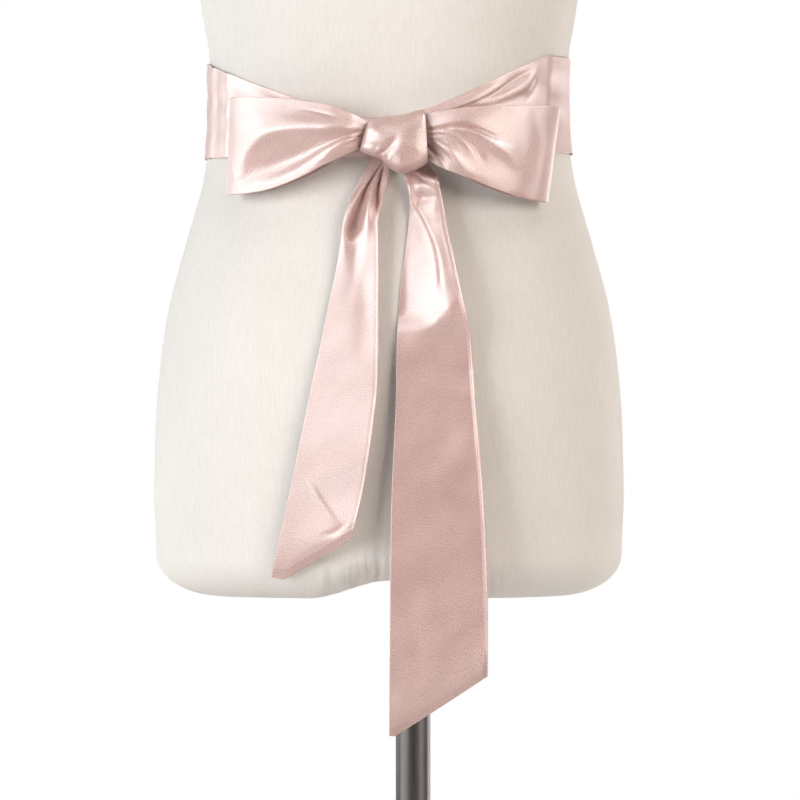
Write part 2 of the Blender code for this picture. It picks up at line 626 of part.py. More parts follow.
def build_sash(satin):
    left_loop = loop_grid(LEFT_LOOP, -1, LEFT_FRONT_FOLDS, *LEFT_LOOP_MESH)
    right_loop = loop_grid(RIGHT_LOOP, 1, RIGHT_FRONT_FOLDS, *RIGHT_LOOP_MESH)
    left_tail = tail_grid(LEFT_TAIL, LEFT_TAIL_TIP, LEFT_TAIL_CORNER, LEFT_TAIL_FOLDS, *LEFT_TAIL_MESH)
    right_tail = tail_grid(RIGHT_TAIL, RIGHT_TAIL_TIP, RIGHT_TAIL_CORNER, RIGHT_TAIL_FOLDS, *RIGHT_TAIL_MESH)
    wall_object("sash_waist", waist_grid(*WAIST_MESH), satin, closed=True)
    wall_object("sash_knot", knot_grid(*KNOT_MESH), satin, closed=True)
    wall_object("sash_left_loop", left_loop, satin)
    wall_object("sash_right_loop", right_loop, satin)
    wall_object("sash_left_tail", left_tail, satin)
    wall_object("sash_right_tail", right_tail, satin)


SATIN_PINK = (0.80, 0.58, 0.53)
JERSEY_CREAM = (0.84, 0.80, 0.75)
GUNMETAL = (0.10, 0.09, 0.085)


def main():
    for old in list(bpy.data.objects):
        bpy.data.objects.remove(old)
    satin = material("pink_satin", SATIN_PINK, roughness=0.36, sheen=0.3)
    jersey = material("cream_jersey", JERSEY_CREAM, roughness=0.9)
    metal = material("dark_metal", GUNMETAL, roughness=0.35, metallic=0.8)
    build_stand(metal)
    build_form(jersey, metal)
    build_sash(satin)


main()
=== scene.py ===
"""A pink satin sash tied in a bow round the waist of a dress form on its stand, in soft studio light.

The frame is in metres: +Z up, the front faces -Y. The tables are in millimetres.
Left and right are the viewer's.
"""

import math
from collections import namedtuple

import bmesh
import bpy
import numpy as np
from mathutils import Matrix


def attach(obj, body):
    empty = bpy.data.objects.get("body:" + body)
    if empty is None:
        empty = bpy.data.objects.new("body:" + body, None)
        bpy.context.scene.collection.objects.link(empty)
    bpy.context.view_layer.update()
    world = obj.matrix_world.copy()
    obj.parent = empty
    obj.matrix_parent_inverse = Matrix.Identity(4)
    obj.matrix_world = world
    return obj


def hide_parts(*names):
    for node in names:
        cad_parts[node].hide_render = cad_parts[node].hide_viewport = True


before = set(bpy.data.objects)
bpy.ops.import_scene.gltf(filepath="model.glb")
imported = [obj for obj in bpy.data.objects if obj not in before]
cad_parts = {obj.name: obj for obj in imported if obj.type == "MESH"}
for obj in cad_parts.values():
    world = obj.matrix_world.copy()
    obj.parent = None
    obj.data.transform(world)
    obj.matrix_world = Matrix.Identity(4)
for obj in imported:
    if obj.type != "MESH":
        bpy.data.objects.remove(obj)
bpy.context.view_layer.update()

MM = 0.001
scene = bpy.context.scene

# The cloth and the gaps between pieces
WALL = 1.2
CLOTH = 0.8
RIM_RADIUS = 0.55
CLEARANCE = 0.3

# The stand
POLE_RADIUS = 12.7
POLE_CHAMFER = 1.0
BASE_SOCKET_FLOOR = 6.0
BASE_OUTLINE = [
    (20.0, 44.0),
    (21.8, 43.4),
    (23.0, 41.0),
    (24.0, 32.0),
    (25.2, 23.0),
    (28.0, 17.0),
    (32.0, 14.2),
    (38.0, 13.0),
    (100.0, 11.6),
    (162.0, 10.0),
    (166.0, 9.3),
    (168.6, 7.6),
    (170.0, 5.0),
    (169.8, 2.0),
    (168.5, 0.0),
]
ROUND_SIDES = 128

# The dress form's body stands beside the pole's axis by this much
FORM_X = -17.6
FORM_BOTTOM = 694.0
FORM_TOP = 1500.0
FORM_ROUNDNESS = 2.3
CORNER_HEIGHT = 30.0
CORNER_INSET = 45.0
ARCH_RISE = 13.0
ARCH_HALF_SPAN = 58.0
ARCH_REACH = 46.0
SOCKET_TOP = 770.0
BUST_HEIGHT = 1232.0
BUST_SPREAD = 70.0
BUST_FULLNESS = 13.0
BUST_HALF_WIDTH = 52.0
BUST_HALF_HEIGHT = 56.0
CAP_OUTLINE = [(-3.0, 0.0), (0.5, 0.6), (2.0, 3.0), (2.0, 7.0), (0.6, 9.6), (-4.0, 11.0), (-20.0, 12.0)]

FormSection = namedtuple("FormSection", "height half_width front back")
FORM_SECTIONS = [
    FormSection(694, 170.0, 97, 102),
    FormSection(735, 171.0, 104, 113),
    FormSection(765, 172.2, 109, 121),
    FormSection(795, 171.7, 112, 125),
    FormSection(822, 170.9, 114, 124),
    FormSection(852, 168.7, 115, 119),
    FormSection(881, 165.4, 115, 112),
    FormSection(910, 160.2, 113, 104),
    FormSection(940, 152.1, 109, 96),
    FormSection(969, 143.9, 104, 89),
    FormSection(998, 136.0, 98.5, 84),
    FormSection(1028, 132.0, 94.5, 81),
    FormSection(1057, 131.2, 93, 80),
    FormSection(1087, 131.8, 93.5, 82),
    FormSection(1116, 136.3, 97, 86),
    FormSection(1165, 144.0, 105, 94),
    FormSection(1200, 149.0, 110.5, 99),
    FormSection(1235, 153.0, 113, 103),
    FormSection(1270, 156.0, 111.5, 106),
    FormSection(1310, 160.0, 105, 107),
    FormSection(1345, 164.0, 95.5, 105),
    FormSection(1372, 166.0, 87, 100),
    FormSection(1388, 160.0, 80, 95),
    FormSection(1398, 142.0, 75, 91),
    FormSection(1410, 115.0, 69, 84),
    FormSection(1422, 88.0, 62, 76),
    FormSection(1436, 67.0, 54, 67),
    FormSection(1452, 58.0, 50, 60),
    FormSection(1472, 54.0, 48, 56),
    FormSection(1500, 52.0, 47, 54),
]


def smoothed(rows, column, at):
    """One column's value at any place along the rows' first column, on a smooth curve with no overshoot."""
    places = np.array([row[0] for row in rows], float)
    values = np.array([getattr(row, column) for row in rows], float)
    at = np.clip(np.asarray(at, float), places[0], places[-1])
    step = np.diff(places)
    slope = np.diff(values) / step
    tangent = np.concatenate([slope[:1], np.zeros(len(slope) - 1), slope[-1:]])
    if len(slope) > 1:
        before, after = slope[:-1], slope[1:]
        turning = before * after <= 0
        one, two = 2 * step[1:] + step[:-1], step[1:] + 2 * step[:-1]
        safe_before = np.where(turning, 1.0, before)
        safe_after = np.where(turning, 1.0, after)
        blended = (one + two) / (one / safe_before + two / safe_after)
        tangent[1:-1] = np.where(turning, 0.0, blended)
    i = np.clip(np.searchsorted(places, at, side="right") - 1, 0, len(step) - 1)
    t = (at - places[i]) / step[i]
    return (
        values[i] * (1 + 2 * t) * (1 - t) ** 2
        + tangent[i] * step[i] * t * (1 - t) ** 2
        + values[i + 1] * t**2 * (3 - 2 * t)
        - tangent[i + 1] * step[i] * t**2 * (1 - t)
    )


def eased(t):
    """0 before 0, 1 after 1 and a soft step between."""
    t = np.clip(t, 0.0, 1.0)
    return t * t * (3 - 2 * t)


def signed_power(value, power):
    return np.sign(value) * np.abs(value) ** power


# The least length that a direction is divided by
TINY = 1e-9


def unit(vectors):
    return vectors / np.maximum(np.linalg.norm(vectors, axis=-1, keepdims=True), TINY)


def form_surface(turn, height):
    """Points of the body's surface. turn is 0 at the front and a quarter turn at the right side."""
    turn, height = np.broadcast_arrays(np.asarray(turn, float), np.asarray(height, float))
    across = signed_power(np.sin(turn), 2 / FORM_ROUNDNESS)
    forward = signed_power(np.cos(turn), 2 / FORM_ROUNDNESS)
    drop = np.clip((FORM_BOTTOM + CORNER_HEIGHT - height) / CORNER_HEIGHT, 0.0, 1.0)
    inset = CORNER_INSET * (1 - np.sqrt(1 - drop**2))
    half_width = smoothed(FORM_SECTIONS, "half_width", height) - inset
    front = smoothed(FORM_SECTIONS, "front", height) - inset
    back = smoothed(FORM_SECTIONS, "back", height) - inset
    x = half_width * across
    y = np.where(forward > 0, -front * forward, -back * forward)
    rise = ((height - BUST_HEIGHT) / BUST_HALF_HEIGHT) ** 2
    for side in (-1, 1):
        beside = ((x - side * BUST_SPREAD) / BUST_HALF_WIDTH) ** 2
        y = y - BUST_FULLNESS * np.exp(-beside - rise) * np.clip(forward, 0.0, 1.0)
    arch = ARCH_RISE * (1 - eased(np.abs(x) / ARCH_HALF_SPAN))
    lift = arch * (1 - eased((height - FORM_BOTTOM) / ARCH_REACH))
    return np.stack([FORM_X + x, y, height + lift], axis=-1)


def grid_normals(grid, closed=False):
    """The normals of a grid whose first axis runs across the strip and second along it."""
    if closed:
        along = np.roll(grid, -1, axis=1) - np.roll(grid, 1, axis=1)
    else:
        along = np.gradient(grid, axis=1)
    return unit(np.cross(np.gradient(grid, axis=0), along))


# A stroke is a soft ridge (depth above 0) or trough along a line in the front view, measured from the knot's
# middle: each point's place, depth and half width. skew widens the side to the right of the line's direction.
Stroke = namedtuple("Stroke", "points skew", defaults=(1.0,))
STROKE_SAMPLES = 8
# How many half widths away from its line a stroke still counts
STROKE_REACH = 3


def stroke_shift(x, z, strokes):
    """How far each point moves along its normal for these strokes."""
    shift = np.zeros_like(x)
    for stroke in strokes:
        rows = np.array(stroke.points, float)
        knots = np.arange(len(rows))
        at = np.linspace(0, len(rows) - 1, STROKE_SAMPLES * (len(rows) - 1) + 1)
        samples = np.stack([spline(knots, rows[:, k], at) for k in range(4)], axis=1)
        way = unit(np.gradient(samples[:, :2], axis=0))
        reach = STROKE_REACH * max(1.0, stroke.skew) * samples[:, 3].max()
        low, high = samples[:, :2].min(axis=0) - reach, samples[:, :2].max(axis=0) + reach
        near = (x > low[0]) & (x < high[0]) & (z > low[1]) & (z < high[1])
        px, pz = x[near][:, None], z[near][:, None]
        away = np.hypot(px - samples[:, 0], pz - samples[:, 1])
        nearest = away.argmin(axis=1)
        row = samples[nearest]
        side = (px[:, 0] - row[:, 0]) * way[nearest, 1] - (pz[:, 0] - row[:, 1]) * way[nearest, 0]
        width = row[:, 3] * np.where(side > 0, stroke.skew, 1.0)
        shift[near] += row[:, 2] * np.exp(-((away.min(axis=1) / width) ** 2))
    return shift


def spline(places, values, at):
    """A smooth curve through values, kept straight where there are only two."""
    if len(places) == 2:
        return np.interp(at, places, values)
    tangent = np.gradient(values)
    i = np.clip(at.astype(int), 0, len(places) - 2)
    t = at - i
    return (
        values[i] * (1 + 2 * t) * (1 - t) ** 2
        + tangent[i] * t * (1 - t) ** 2
        + values[i + 1] * t**2 * (3 - 2 * t)
        - tangent[i + 1] * t**2 * (1 - t)
    )


# The knot's middle, in the front view
KNOT_X = -13.8
KNOT_Z = 1018.9


def drawn(grid, strokes, facing):
    """A closed grid moved along its normals by strokes that are drawn in the front view."""
    normal = grid_normals(grid, closed=True)
    shift = stroke_shift(grid[..., 0] - KNOT_X, grid[..., 2] - KNOT_Z, strokes) * facing
    return grid + normal * shift[..., None]


# Extra places near a strip's edges, in shares of its width, for its rounded rims
EDGE_SHARES = np.array([0.0, 0.0012, 0.0035, 0.007, 0.012])
# Where the even places between them begin
EDGE_SPAN = 0.02


def shares(count):
    """Places from 0 to 1, closer together at both ends."""
    inner = np.linspace(EDGE_SPAN, 1 - EDGE_SPAN, count)
    return np.concatenate([EDGE_SHARES, inner, 1 - EDGE_SHARES[::-1]])


def distances(grid, axis):
    """Distances from the grid's first line along an axis."""
    steps = np.linalg.norm(np.diff(grid, axis=axis), axis=-1)
    first = np.zeros_like(np.take(steps, [0], axis=axis))
    return np.concatenate([first, np.cumsum(steps, axis=axis)], axis=axis)


def cloth_object(name, grid, finish, closed=False):
    """A thin doubled cloth with rounded rims on both sides of a grid. closed joins its ends."""
    rows, columns = grid.shape[:2]
    normal = grid_normals(grid, closed)
    across = distances(grid, 0)
    to_edge = np.minimum(across, across[-1:] - across)
    along = distances(grid, 1)
    if not closed:
        to_edge = np.minimum(to_edge, np.minimum(along, along[:, -1:] - along))
    near = np.clip(to_edge / RIM_RADIUS, 0.0, 1.0)
    half = CLOTH / 2 * np.sqrt(1 - (1 - near) ** 2)
    rim = to_edge <= 0
    outer = (grid + normal * half[..., None]).reshape(-1, 3)
    inner = (grid - normal * half[..., None]).reshape(-1, 3)
    index_out = np.arange(rows * columns).reshape(rows, columns)
    index_in = np.where(rim, index_out, 0)
    hidden = ~rim
    index_in[hidden] = rows * columns + np.arange(hidden.sum())
    points = np.concatenate([outer, inner[hidden.reshape(-1)]])
    mid_along = along[rows // 2]
    closing = np.linalg.norm(grid[rows // 2, 0] - grid[rows // 2, -1])
    u = np.append(mid_along, mid_along[-1] + closing)
    v = across[:, columns // 2]
    last = columns if closed else columns - 1
    i, j = np.meshgrid(np.arange(rows - 1), np.arange(last), indexing="ij")
    i, j = i.reshape(-1), j.reshape(-1)
    k = (j + 1) % columns
    corner_v = np.stack([v[i], v[i + 1], v[i + 1], v[i]], axis=1)
    corner_u = np.stack([u[j], u[j], u[j + 1], u[j + 1]], axis=1)
    corner_uv = np.stack([corner_u, corner_v], axis=2) * MM
    front = np.stack([index_out[i, j], index_out[i + 1, j], index_out[i + 1, k], index_out[i, k]], axis=1)
    back = np.stack([index_in[i, j], index_in[i + 1, j], index_in[i + 1, k], index_in[i, k]], axis=1)[:, ::-1]
    faces = np.concatenate([front, back])
    uvs = np.concatenate([corner_uv, corner_uv[:, ::-1]])
    return mesh_object(name, points, faces, finish, uvs)


def mesh_object(name, points, faces, finish, uvs=None):
    """A smooth mesh object from points in millimetres and quads, with its faces turned outwards."""
    mesh = bpy.data.meshes.new(name)
    corners = [list(dict.fromkeys(int(i) for i in face)) for face in faces]
    mesh.from_pydata((np.asarray(points) * MM).tolist(), [], corners)
    if uvs is not None:
        layer = mesh.uv_layers.new(name="cloth")
        layer.data.foreach_set("uv", uvs.reshape(-1))
    edit = bmesh.new()
    edit.from_mesh(mesh)
    bmesh.ops.recalc_face_normals(edit, faces=edit.faces)
    edit.to_mesh(mesh)
    edit.free()
    mesh.shade_smooth()
    mesh.materials.append(finish)
    made = bpy.data.objects.new(name, mesh)
    scene.collection.objects.link(made)
    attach(made, "root")
    return made


# The stretch round the waist, by its turn from the front in degrees, right side first
WaistRow = namedtuple("WaistRow", "turn top bottom pleat")
WAIST_ROWS = [
    WaistRow(0, 1037, 1008, 1.1),
    WaistRow(10, 1044, 1008, 1.3),
    WaistRow(18, 1052, 1009, 1.6),
    WaistRow(30, 1064, 1010, 1.0),
    WaistRow(45, 1077, 1012, 0.5),
    WaistRow(60, 1085, 1015, 0.2),
    WaistRow(90, 1086, 1017, 0.0),
    WaistRow(180, 1087, 1018, 0.0),
    WaistRow(270, 1084, 1013, 0.3),
    WaistRow(300, 1073, 1011, 0.4),
    WaistRow(315, 1064, 1010, 0.8),
    WaistRow(330, 1054, 1009, 1.2),
    WaistRow(342, 1044, 1008, 1.6),
    WaistRow(350, 1038, 1008, 1.2),
    WaistRow(360, 1037, 1008, 1.1),
]
WAIST_PLEATS = 3
WAIST_GAP = 0.5


# Upright creases of the band, all round: the turns of the upper and the lower end, the depth and the half
# width, in degrees and millimetres
SideCrease = namedtuple("SideCrease", "turn_top turn_bottom deep width")
SIDE_CREASES = [
    SideCrease(58, 56, 1.0, 4.0),
    SideCrease(77, 78, 0.9, 3.4),
    SideCrease(94, 90, 0.6, 4.0),
    SideCrease(112, 108, 1.2, 5.0),
    SideCrease(131, 127, 0.9, 3.5),
    SideCrease(152, 157, 1.3, 6.0),
    SideCrease(176, 171, 0.9, 4.0),
    SideCrease(199, 205, 1.4, 5.5),
    SideCrease(222, 217, 1.0, 4.0),
    SideCrease(243, 246, 1.3, 5.0),
    SideCrease(262, 258, 0.5, 3.5),
    SideCrease(276, 276, 0.6, 2.6),
    SideCrease(289, 289.5, 1.9, 2.8),
    SideCrease(301.5, 302, 1.5, 2.8),
]


def side_shift(turns, w):
    """How far the band stands out at its upright creases."""
    shift = np.zeros((len(w), len(turns)))
    for crease in SIDE_CREASES:
        centre = crease.turn_top + (crease.turn_bottom - crease.turn_top) * w[:, None]
        shift += crease.deep * np.exp(-(((turns[None, :] - centre) / crease.width) ** 2))
    return shift


def waist_grid(across_count, along_count):
    """The middle of the cloth round the waist: it hugs the body and is gathered towards the knot."""
    turns = np.arange(along_count) * 360.0 / along_count
    w = shares(across_count)[:, None]
    top = smoothed(WAIST_ROWS, "top", turns)
    bottom = smoothed(WAIST_ROWS, "bottom", turns)
    pleat = smoothed(WAIST_ROWS, "pleat", turns)
    height = top + (bottom - top) * w
    skin = form_surface(np.radians(turns)[None, :], height)
    normal = grid_normals(skin, closed=True)
    middle = WAIST_GAP + WALL / 2
    wave = pleat * (1 - np.cos(2 * math.pi * WAIST_PLEATS * w))
    out = np.maximum(wave + side_shift(turns, w[:, 0]), 0.0)
    return skin + normal * (middle + out)[..., None]


# A fold of the loops and tails starts at the knot. Its places across the strip run from 0 to 1.
Fold = namedtuple("Fold", "knot_at mid_at end_at knot_deep mid_deep width reach")
FOLD_MIDDLE = 0.5


def fold_shift(folds, across, along):
    """How far each place of a strip stands out at its folds."""
    w, s = np.meshgrid(across, along, indexing="ij")
    out = np.zeros_like(w)
    for fold in folds:
        run = np.clip(s / fold.reach, 0.0, 1.0)
        middle = 2 * fold.mid_at - (fold.knot_at + fold.end_at) / 2
        centre = fold.knot_at * (1 - run) ** 2 + 2 * middle * run * (1 - run) + fold.end_at * run**2
        fade = 1 - eased((run - FOLD_MIDDLE) / (1 - FOLD_MIDDLE))
        deep = (fold.knot_deep + (fold.mid_deep - fold.knot_deep) * eased(run / FOLD_MIDDLE)) * fade
        bump = np.exp(-(((w - centre) / fold.width) ** 2))
        out += deep * bump
    return out


# A bow loop, from the knot outwards
LoopRow = namedtuple("LoopRow", "out top bottom middle half edge_half slant")
LEFT_LOOP = [
    LoopRow(8, 11.6, -4.0, 113.4, 3.4, 1.5, -4),
    LoopRow(20, 12.1, -4.5, 113.4, 3.4, 1.5, -4),
    LoopRow(22, 13.6, -4.9, 113.6, 3.6, 1.6, -4),
    LoopRow(25, 15.6, -6.4, 114.6, 4.6, 2.0, -4),
    LoopRow(33, 19.8, -10.4, 116.2, 8.2, 4.2, -3),
    LoopRow(42, 24.5, -15.2, 114.2, 9.6, 5.8, -2),
    LoopRow(54, 27.4, -21.8, 108.8, 10.0, 6.8, -2),
    LoopRow(76, 30.7, -30.8, 100.6, 10.4, 7.8, -2),
    LoopRow(92, 32.0, -34.9, 95.6, 9.4, 7.0, -2),
    LoopRow(106, 32.7, -36.1, 89.6, 6.6, 5.4, -2),
    LoopRow(117.5, 33.2, -36.2, 83.0, 2.8, 2.8, -2.5),
]
RIGHT_LOOP = [
    LoopRow(8, 14.0, -9.0, 114.2, 4.0, 1.6, 0),
    LoopRow(18, 17.0, -11.2, 114.2, 4.0, 1.6, 0),
    LoopRow(22, 18.9, -12.4, 114.4, 4.2, 1.8, 0),
    LoopRow(25, 19.6, -14.2, 114.8, 5.0, 2.2, 0),
    LoopRow(32, 20.8, -18.4, 115.2, 7.4, 3.8, 0),
    LoopRow(40, 22.1, -21.7, 115.0, 9.4, 5.4, 1),
    LoopRow(50, 23.5, -25.6, 113.4, 10.8, 6.8, 2),
    LoopRow(69, 24.9, -33.3, 107.8, 11.2, 7.6, 4),
    LoopRow(86, 25.7, -38.2, 100.2, 9.8, 7.0, 6),
    LoopRow(100, 26.1, -40.2, 91.4, 6.8, 5.6, 8),
    LoopRow(113.5, 26.7, -41.5, 82.2, 2.8, 2.8, 9),
]
TIP_SQUARENESS = 30
BACK_TUCK = 2.0
LEFT_FRONT_FOLDS = [
    Fold(0.34, 0.38, 0.46, 0.3, 3.0, 0.22, 1.0),
    Fold(0.84, 0.98, 1.06, 0.6, 5.0, 0.22, 1.0),
]
RIGHT_FRONT_FOLDS = [
    Fold(0.20, 0.20, 0.22, 0.3, 1.6, 0.22, 0.8),
    Fold(0.96, 1.00, 1.04, 0.4, 3.4, 0.22, 0.95),
]
BACK_FOLDS = [
    Fold(0.22, 0.25, 0.28, 0.2, 1.8, 0.12, 0.7),
    Fold(0.50, 0.52, 0.55, -0.3, -2.4, 0.12, 0.7),
    Fold(0.78, 0.78, 0.78, 0.2, 1.8, 0.12, 0.7),
]


def loop_grid(rows, side, front_folds, across_count, along_count, strokes):
    """The middle of a loop's cloth: the front layer out to the tip and the back layer to the knot again."""
    length = rows[-1].out - rows[0].out
    share = np.sin(np.linspace(0.0, math.pi / 2, along_count))
    out = rows[0].out + length * share
    w = shares(across_count)[:, None]
    top, bottom = smoothed(rows, "top", out), smoothed(rows, "bottom", out)
    slant, middle = smoothed(rows, "slant", out), smoothed(rows, "middle", out)
    centre, edge = smoothed(rows, "half", out), smoothed(rows, "edge_half", out)
    rounding = np.sqrt(np.maximum(1 - share**TIP_SQUARENESS, 0.0))
    half = (edge + (centre - edge) * (1 - (2 * w - 1) ** 2)) * rounding
    fall = -np.gradient(middle, out)
    outwards, forward = fall / np.hypot(fall, 1.0), 1 / np.hypot(fall, 1.0)
    layers = []
    for facing, folds, tuck in ((1.0, front_folds, 0.0), (-1.0, BACK_FOLDS, BACK_TUCK)):
        z = KNOT_Z + top + (bottom - top) * w + tuck * w * 4 * share * (1 - share)
        x = KNOT_X + side * (out + slant * (0.5 - w) + facing * half * outwards)
        flat = np.stack([x, -(middle + facing * half * forward), z], axis=-1)
        shift = fold_shift(folds, w[:, 0], share)
        if facing > 0:
            shift += stroke_shift(x - KNOT_X, z - KNOT_Z, strokes)
        towards = np.array([0.0, -facing, 0.0])
        layers.append(flat + towards * shift[..., None])
    return np.concatenate([layers[0], layers[1][:, -2::-1]], axis=1)


# The knot's wrap, from its left edge to its right edge: the ends of each section and its bulge
KnotRow = namedtuple("KnotRow", "share top_x top bottom_x bottom front back")
KNOT_ROWS = [
    KnotRow(0.00, -18.0, 13.6, -24.0, -6.6, 122.5, 103.6),
    KnotRow(0.08, -15.2, 15.0, -21.6, -7.6, 125.5, 103.0),
    KnotRow(0.22, -9.4, 16.2, -15.4, -10.0, 128.5, 102.8),
    KnotRow(0.36, -3.8, 17.0, -9.0, -12.4, 129.5, 102.8),
    KnotRow(0.50, 1.6, 17.4, -3.2, -18.6, 131.0, 102.8),
    KnotRow(0.66, 8.6, 18.5, 4.8, -22.4, 132.0, 102.8),
    KnotRow(0.82, 15.4, 20.6, 13.6, -20.4, 131.0, 102.8),
    KnotRow(0.94, 20.4, 21.6, 21.0, -16.8, 128.0, 103.0),
    KnotRow(1.00, 22.0, 20.6, 23.6, -14.8, 126.0, 103.6),
]
KNOT_SQUARENESS = 2.5
KNOT_TILT = 0.22
KNOT_STROKES = [
    Stroke([
        (-21, 8, 0.8, 3.2), (-13, 6, 1.0, 3.3), (-6, 1, 1.2, 3.4), (4, -1, 0.8, 4.0),
        (24, -9, 0.9, 5.0),
    ]),
    Stroke([(-22, -1, -1.3, 2.6), (-13, -5, -1.3, 2.6)]),
    Stroke([(-21, -6, 0.9, 2.6), (-10, -11, 0.9, 2.6)]),
    Stroke([(-8, -11, -3.2, 2.6), (-3, -5, -2.6, 2.8), (1, 0, -0.8, 3.0)]),
    Stroke([(30, -1, 1.4, 11.0), (31, -14, 3.6, 12.0)]),
    Stroke([(-3, -18, 1.2, 5.0), (7, -22, 4.6, 7.6), (17, -21, 5.0, 8.0), (25, -16, 3.0, 7.0)]),
    Stroke([(-11.0, -9.4, -1.6, 1.1), (-8.2, -8.2, -2.6, 1.3)]),
]


def knot_grid(across_count, round_count):
    """The middle of the wrap's cloth: closed rings round the necks of the loops."""
    share = shares(across_count)[:, None]
    angle = np.arange(round_count) * 2 * math.pi / round_count
    up = signed_power(np.sin(angle), 2 / KNOT_SQUARENESS)
    ahead = signed_power(np.cos(angle), 2 / KNOT_SQUARENESS)
    top, bottom = smoothed(KNOT_ROWS, "top", share), smoothed(KNOT_ROWS, "bottom", share)
    top_x, bottom_x = smoothed(KNOT_ROWS, "top_x", share), smoothed(KNOT_ROWS, "bottom_x", share)
    front, back = smoothed(KNOT_ROWS, "front", share), smoothed(KNOT_ROWS, "back", share)
    z = (top + bottom) / 2 + (top - bottom) / 2 * up
    x = (top_x + bottom_x) / 2 + (top_x - bottom_x) / 2 * up
    tilt = np.where(ahead > 0, 1 - KNOT_TILT * up, 1.0)
    depth = (front + back) / 2 + (front - back) / 2 * ahead * tilt
    grid = np.stack([KNOT_X + x, -depth, KNOT_Z + z], axis=-1)
    facing = np.clip(ahead, 0.0, 1.0)
    grid[..., 1] -= stroke_shift(grid[..., 0] - KNOT_X, grid[..., 2] - KNOT_Z, KNOT_STROKES) * facing
    return grid


# A tail, downwards from the knot's middle: its left and right edges, and how far they are in front
TailRow = namedtuple("TailRow", "down left right left_front right_front")
LEFT_TAIL = [
    TailRow(4, -15.0, -3.0, 100.9, 100.9),
    TailRow(9, -16.4, -2.6, 101.3, 101.3),
    TailRow(14, -18.0, -2.6, 101.9, 101.9),
    TailRow(27, -25.2, -3.9, 105.2, 107.4),
    TailRow(39, -31.0, -7.3, 109.0, 113.8),
    TailRow(47, -33.4, -9.4, 111.5, 118.0),
    TailRow(56, -35.6, -11.0, 112.5, 120.5),
    TailRow(66, -37.0, -10.8, 112.5, 121.5),
    TailRow(81, -39.2, -10.6, 113.5, 122.5),
    TailRow(122, -47.4, -10.7, 116.0, 126.0),
    TailRow(168, -57.0, -11.2, 117.8, 130.5),
    TailRow(200, -63.7, -14.5, 116.5, 131.5),
    TailRow(243, -72.8, -21.0, 112.0, 129.0),
    TailRow(277, -80.3, -29.0, 105.5, 126.0),
    TailRow(307, -86.8, -35.5, 97.0, 117.5),
    TailRow(316, -88.6, -37.4, 95.0, 114.5),
]
RIGHT_TAIL = [
    TailRow(4, 7.0, 22.0, 100.7, 100.7),
    TailRow(16, 6.8, 25.0, 101.0, 101.0),
    TailRow(22, 6.7, 29.4, 103.6, 103.6),
    TailRow(27, 8.2, 31.0, 105.0, 113.0),
    TailRow(31, 9.3, 31.9, 106.6, 116.6),
    TailRow(36, 10.5, 33.0, 107.2, 116.8),
    TailRow(41, 11.1, 34.2, 106.8, 116.0),
    TailRow(48, 11.0, 35.4, 106.6, 116.0),
    TailRow(60, 9.8, 37.2, 107.4, 120.5),
    TailRow(81, 7.3, 42.0, 109.6, 125.0),
    TailRow(104, 4.3, 46.9, 111.4, 128.5),
    TailRow(122, 2.9, 51.0, 113.4, 129.5),
    TailRow(138, 2.0, 54.3, 118.0, 124.5),
    TailRow(158, 1.6, 55.7, 120.5, 121.5),
    TailRow(182, 1.2, 57.2, 122.5, 125.0),
    TailRow(252, -1.8, 63.0, 123.5, 126.5),
    TailRow(322, -2.8, 65.8, 121.5, 123.0),
    TailRow(350, -3.0, 65.9, 119.5, 119.5),
    TailRow(376, -3.2, 65.9, 115.5, 114.0),
    TailRow(395, -3.3, 65.9, 109.0, 108.5),
    TailRow(423, -3.4, 65.9, 95.0, 95.5),
]
# A slanted cut end: where its line meets the left and the right edge, and where the blunt tip ends
CutEnd = namedtuple("CutEnd", "left right blunt blunt_slope")
LEFT_TAIL_END = CutEnd(315.5, 279.0, 307.5, 8.0)
RIGHT_TAIL_END = CutEnd(423.0, 376.4, 420.0, 3.0)
OVER_SOFTNESS = 1.0
LEFT_TAIL_FOLDS = [
    Fold(0.46, 0.46, 0.40, -0.1, -1.2, 0.14, 0.40),
]
RIGHT_TAIL_FOLDS = [
    Fold(0.85, 0.90, 0.95, -0.1, -1.0, 0.12, 0.30),
]
# The sewn hem at a tail's end: its width, its groove and how far its edge turns back
HEM_WIDTH = 7.5
HEM_GROOVE = 0.3
HEM_LINE = 1.5
HEM_TUCK = 2.8
# The seam along the right edges: how far inside it lies, its half width and its groove on each tail
SEAM_INSET = 1.9
SEAM_LINE = 0.8
LEFT_SEAM = 0.12
RIGHT_SEAM = 0.85


def over_the_form(points, closest):
    """The points, eased forwards where they would come closer to the body's front than this."""
    rise, beside = points[..., 2], points[..., 0] - FORM_X
    half_width = smoothed(FORM_SECTIONS, "half_width", rise)
    front = smoothed(FORM_SECTIONS, "front", rise)
    inside = np.clip(1 - np.abs(beside / half_width) ** FORM_ROUNDNESS, 0.0, 1.0)
    least = front * inside ** (1 / FORM_ROUNDNESS) + closest
    least = np.where(rise > FORM_BOTTOM, least, 0.0)
    depth = -points[..., 1]
    eased_depth = (depth + least + np.hypot(depth - least, OVER_SOFTNESS)) / 2
    return np.stack([points[..., 0], -eased_depth, points[..., 2]], axis=-1)


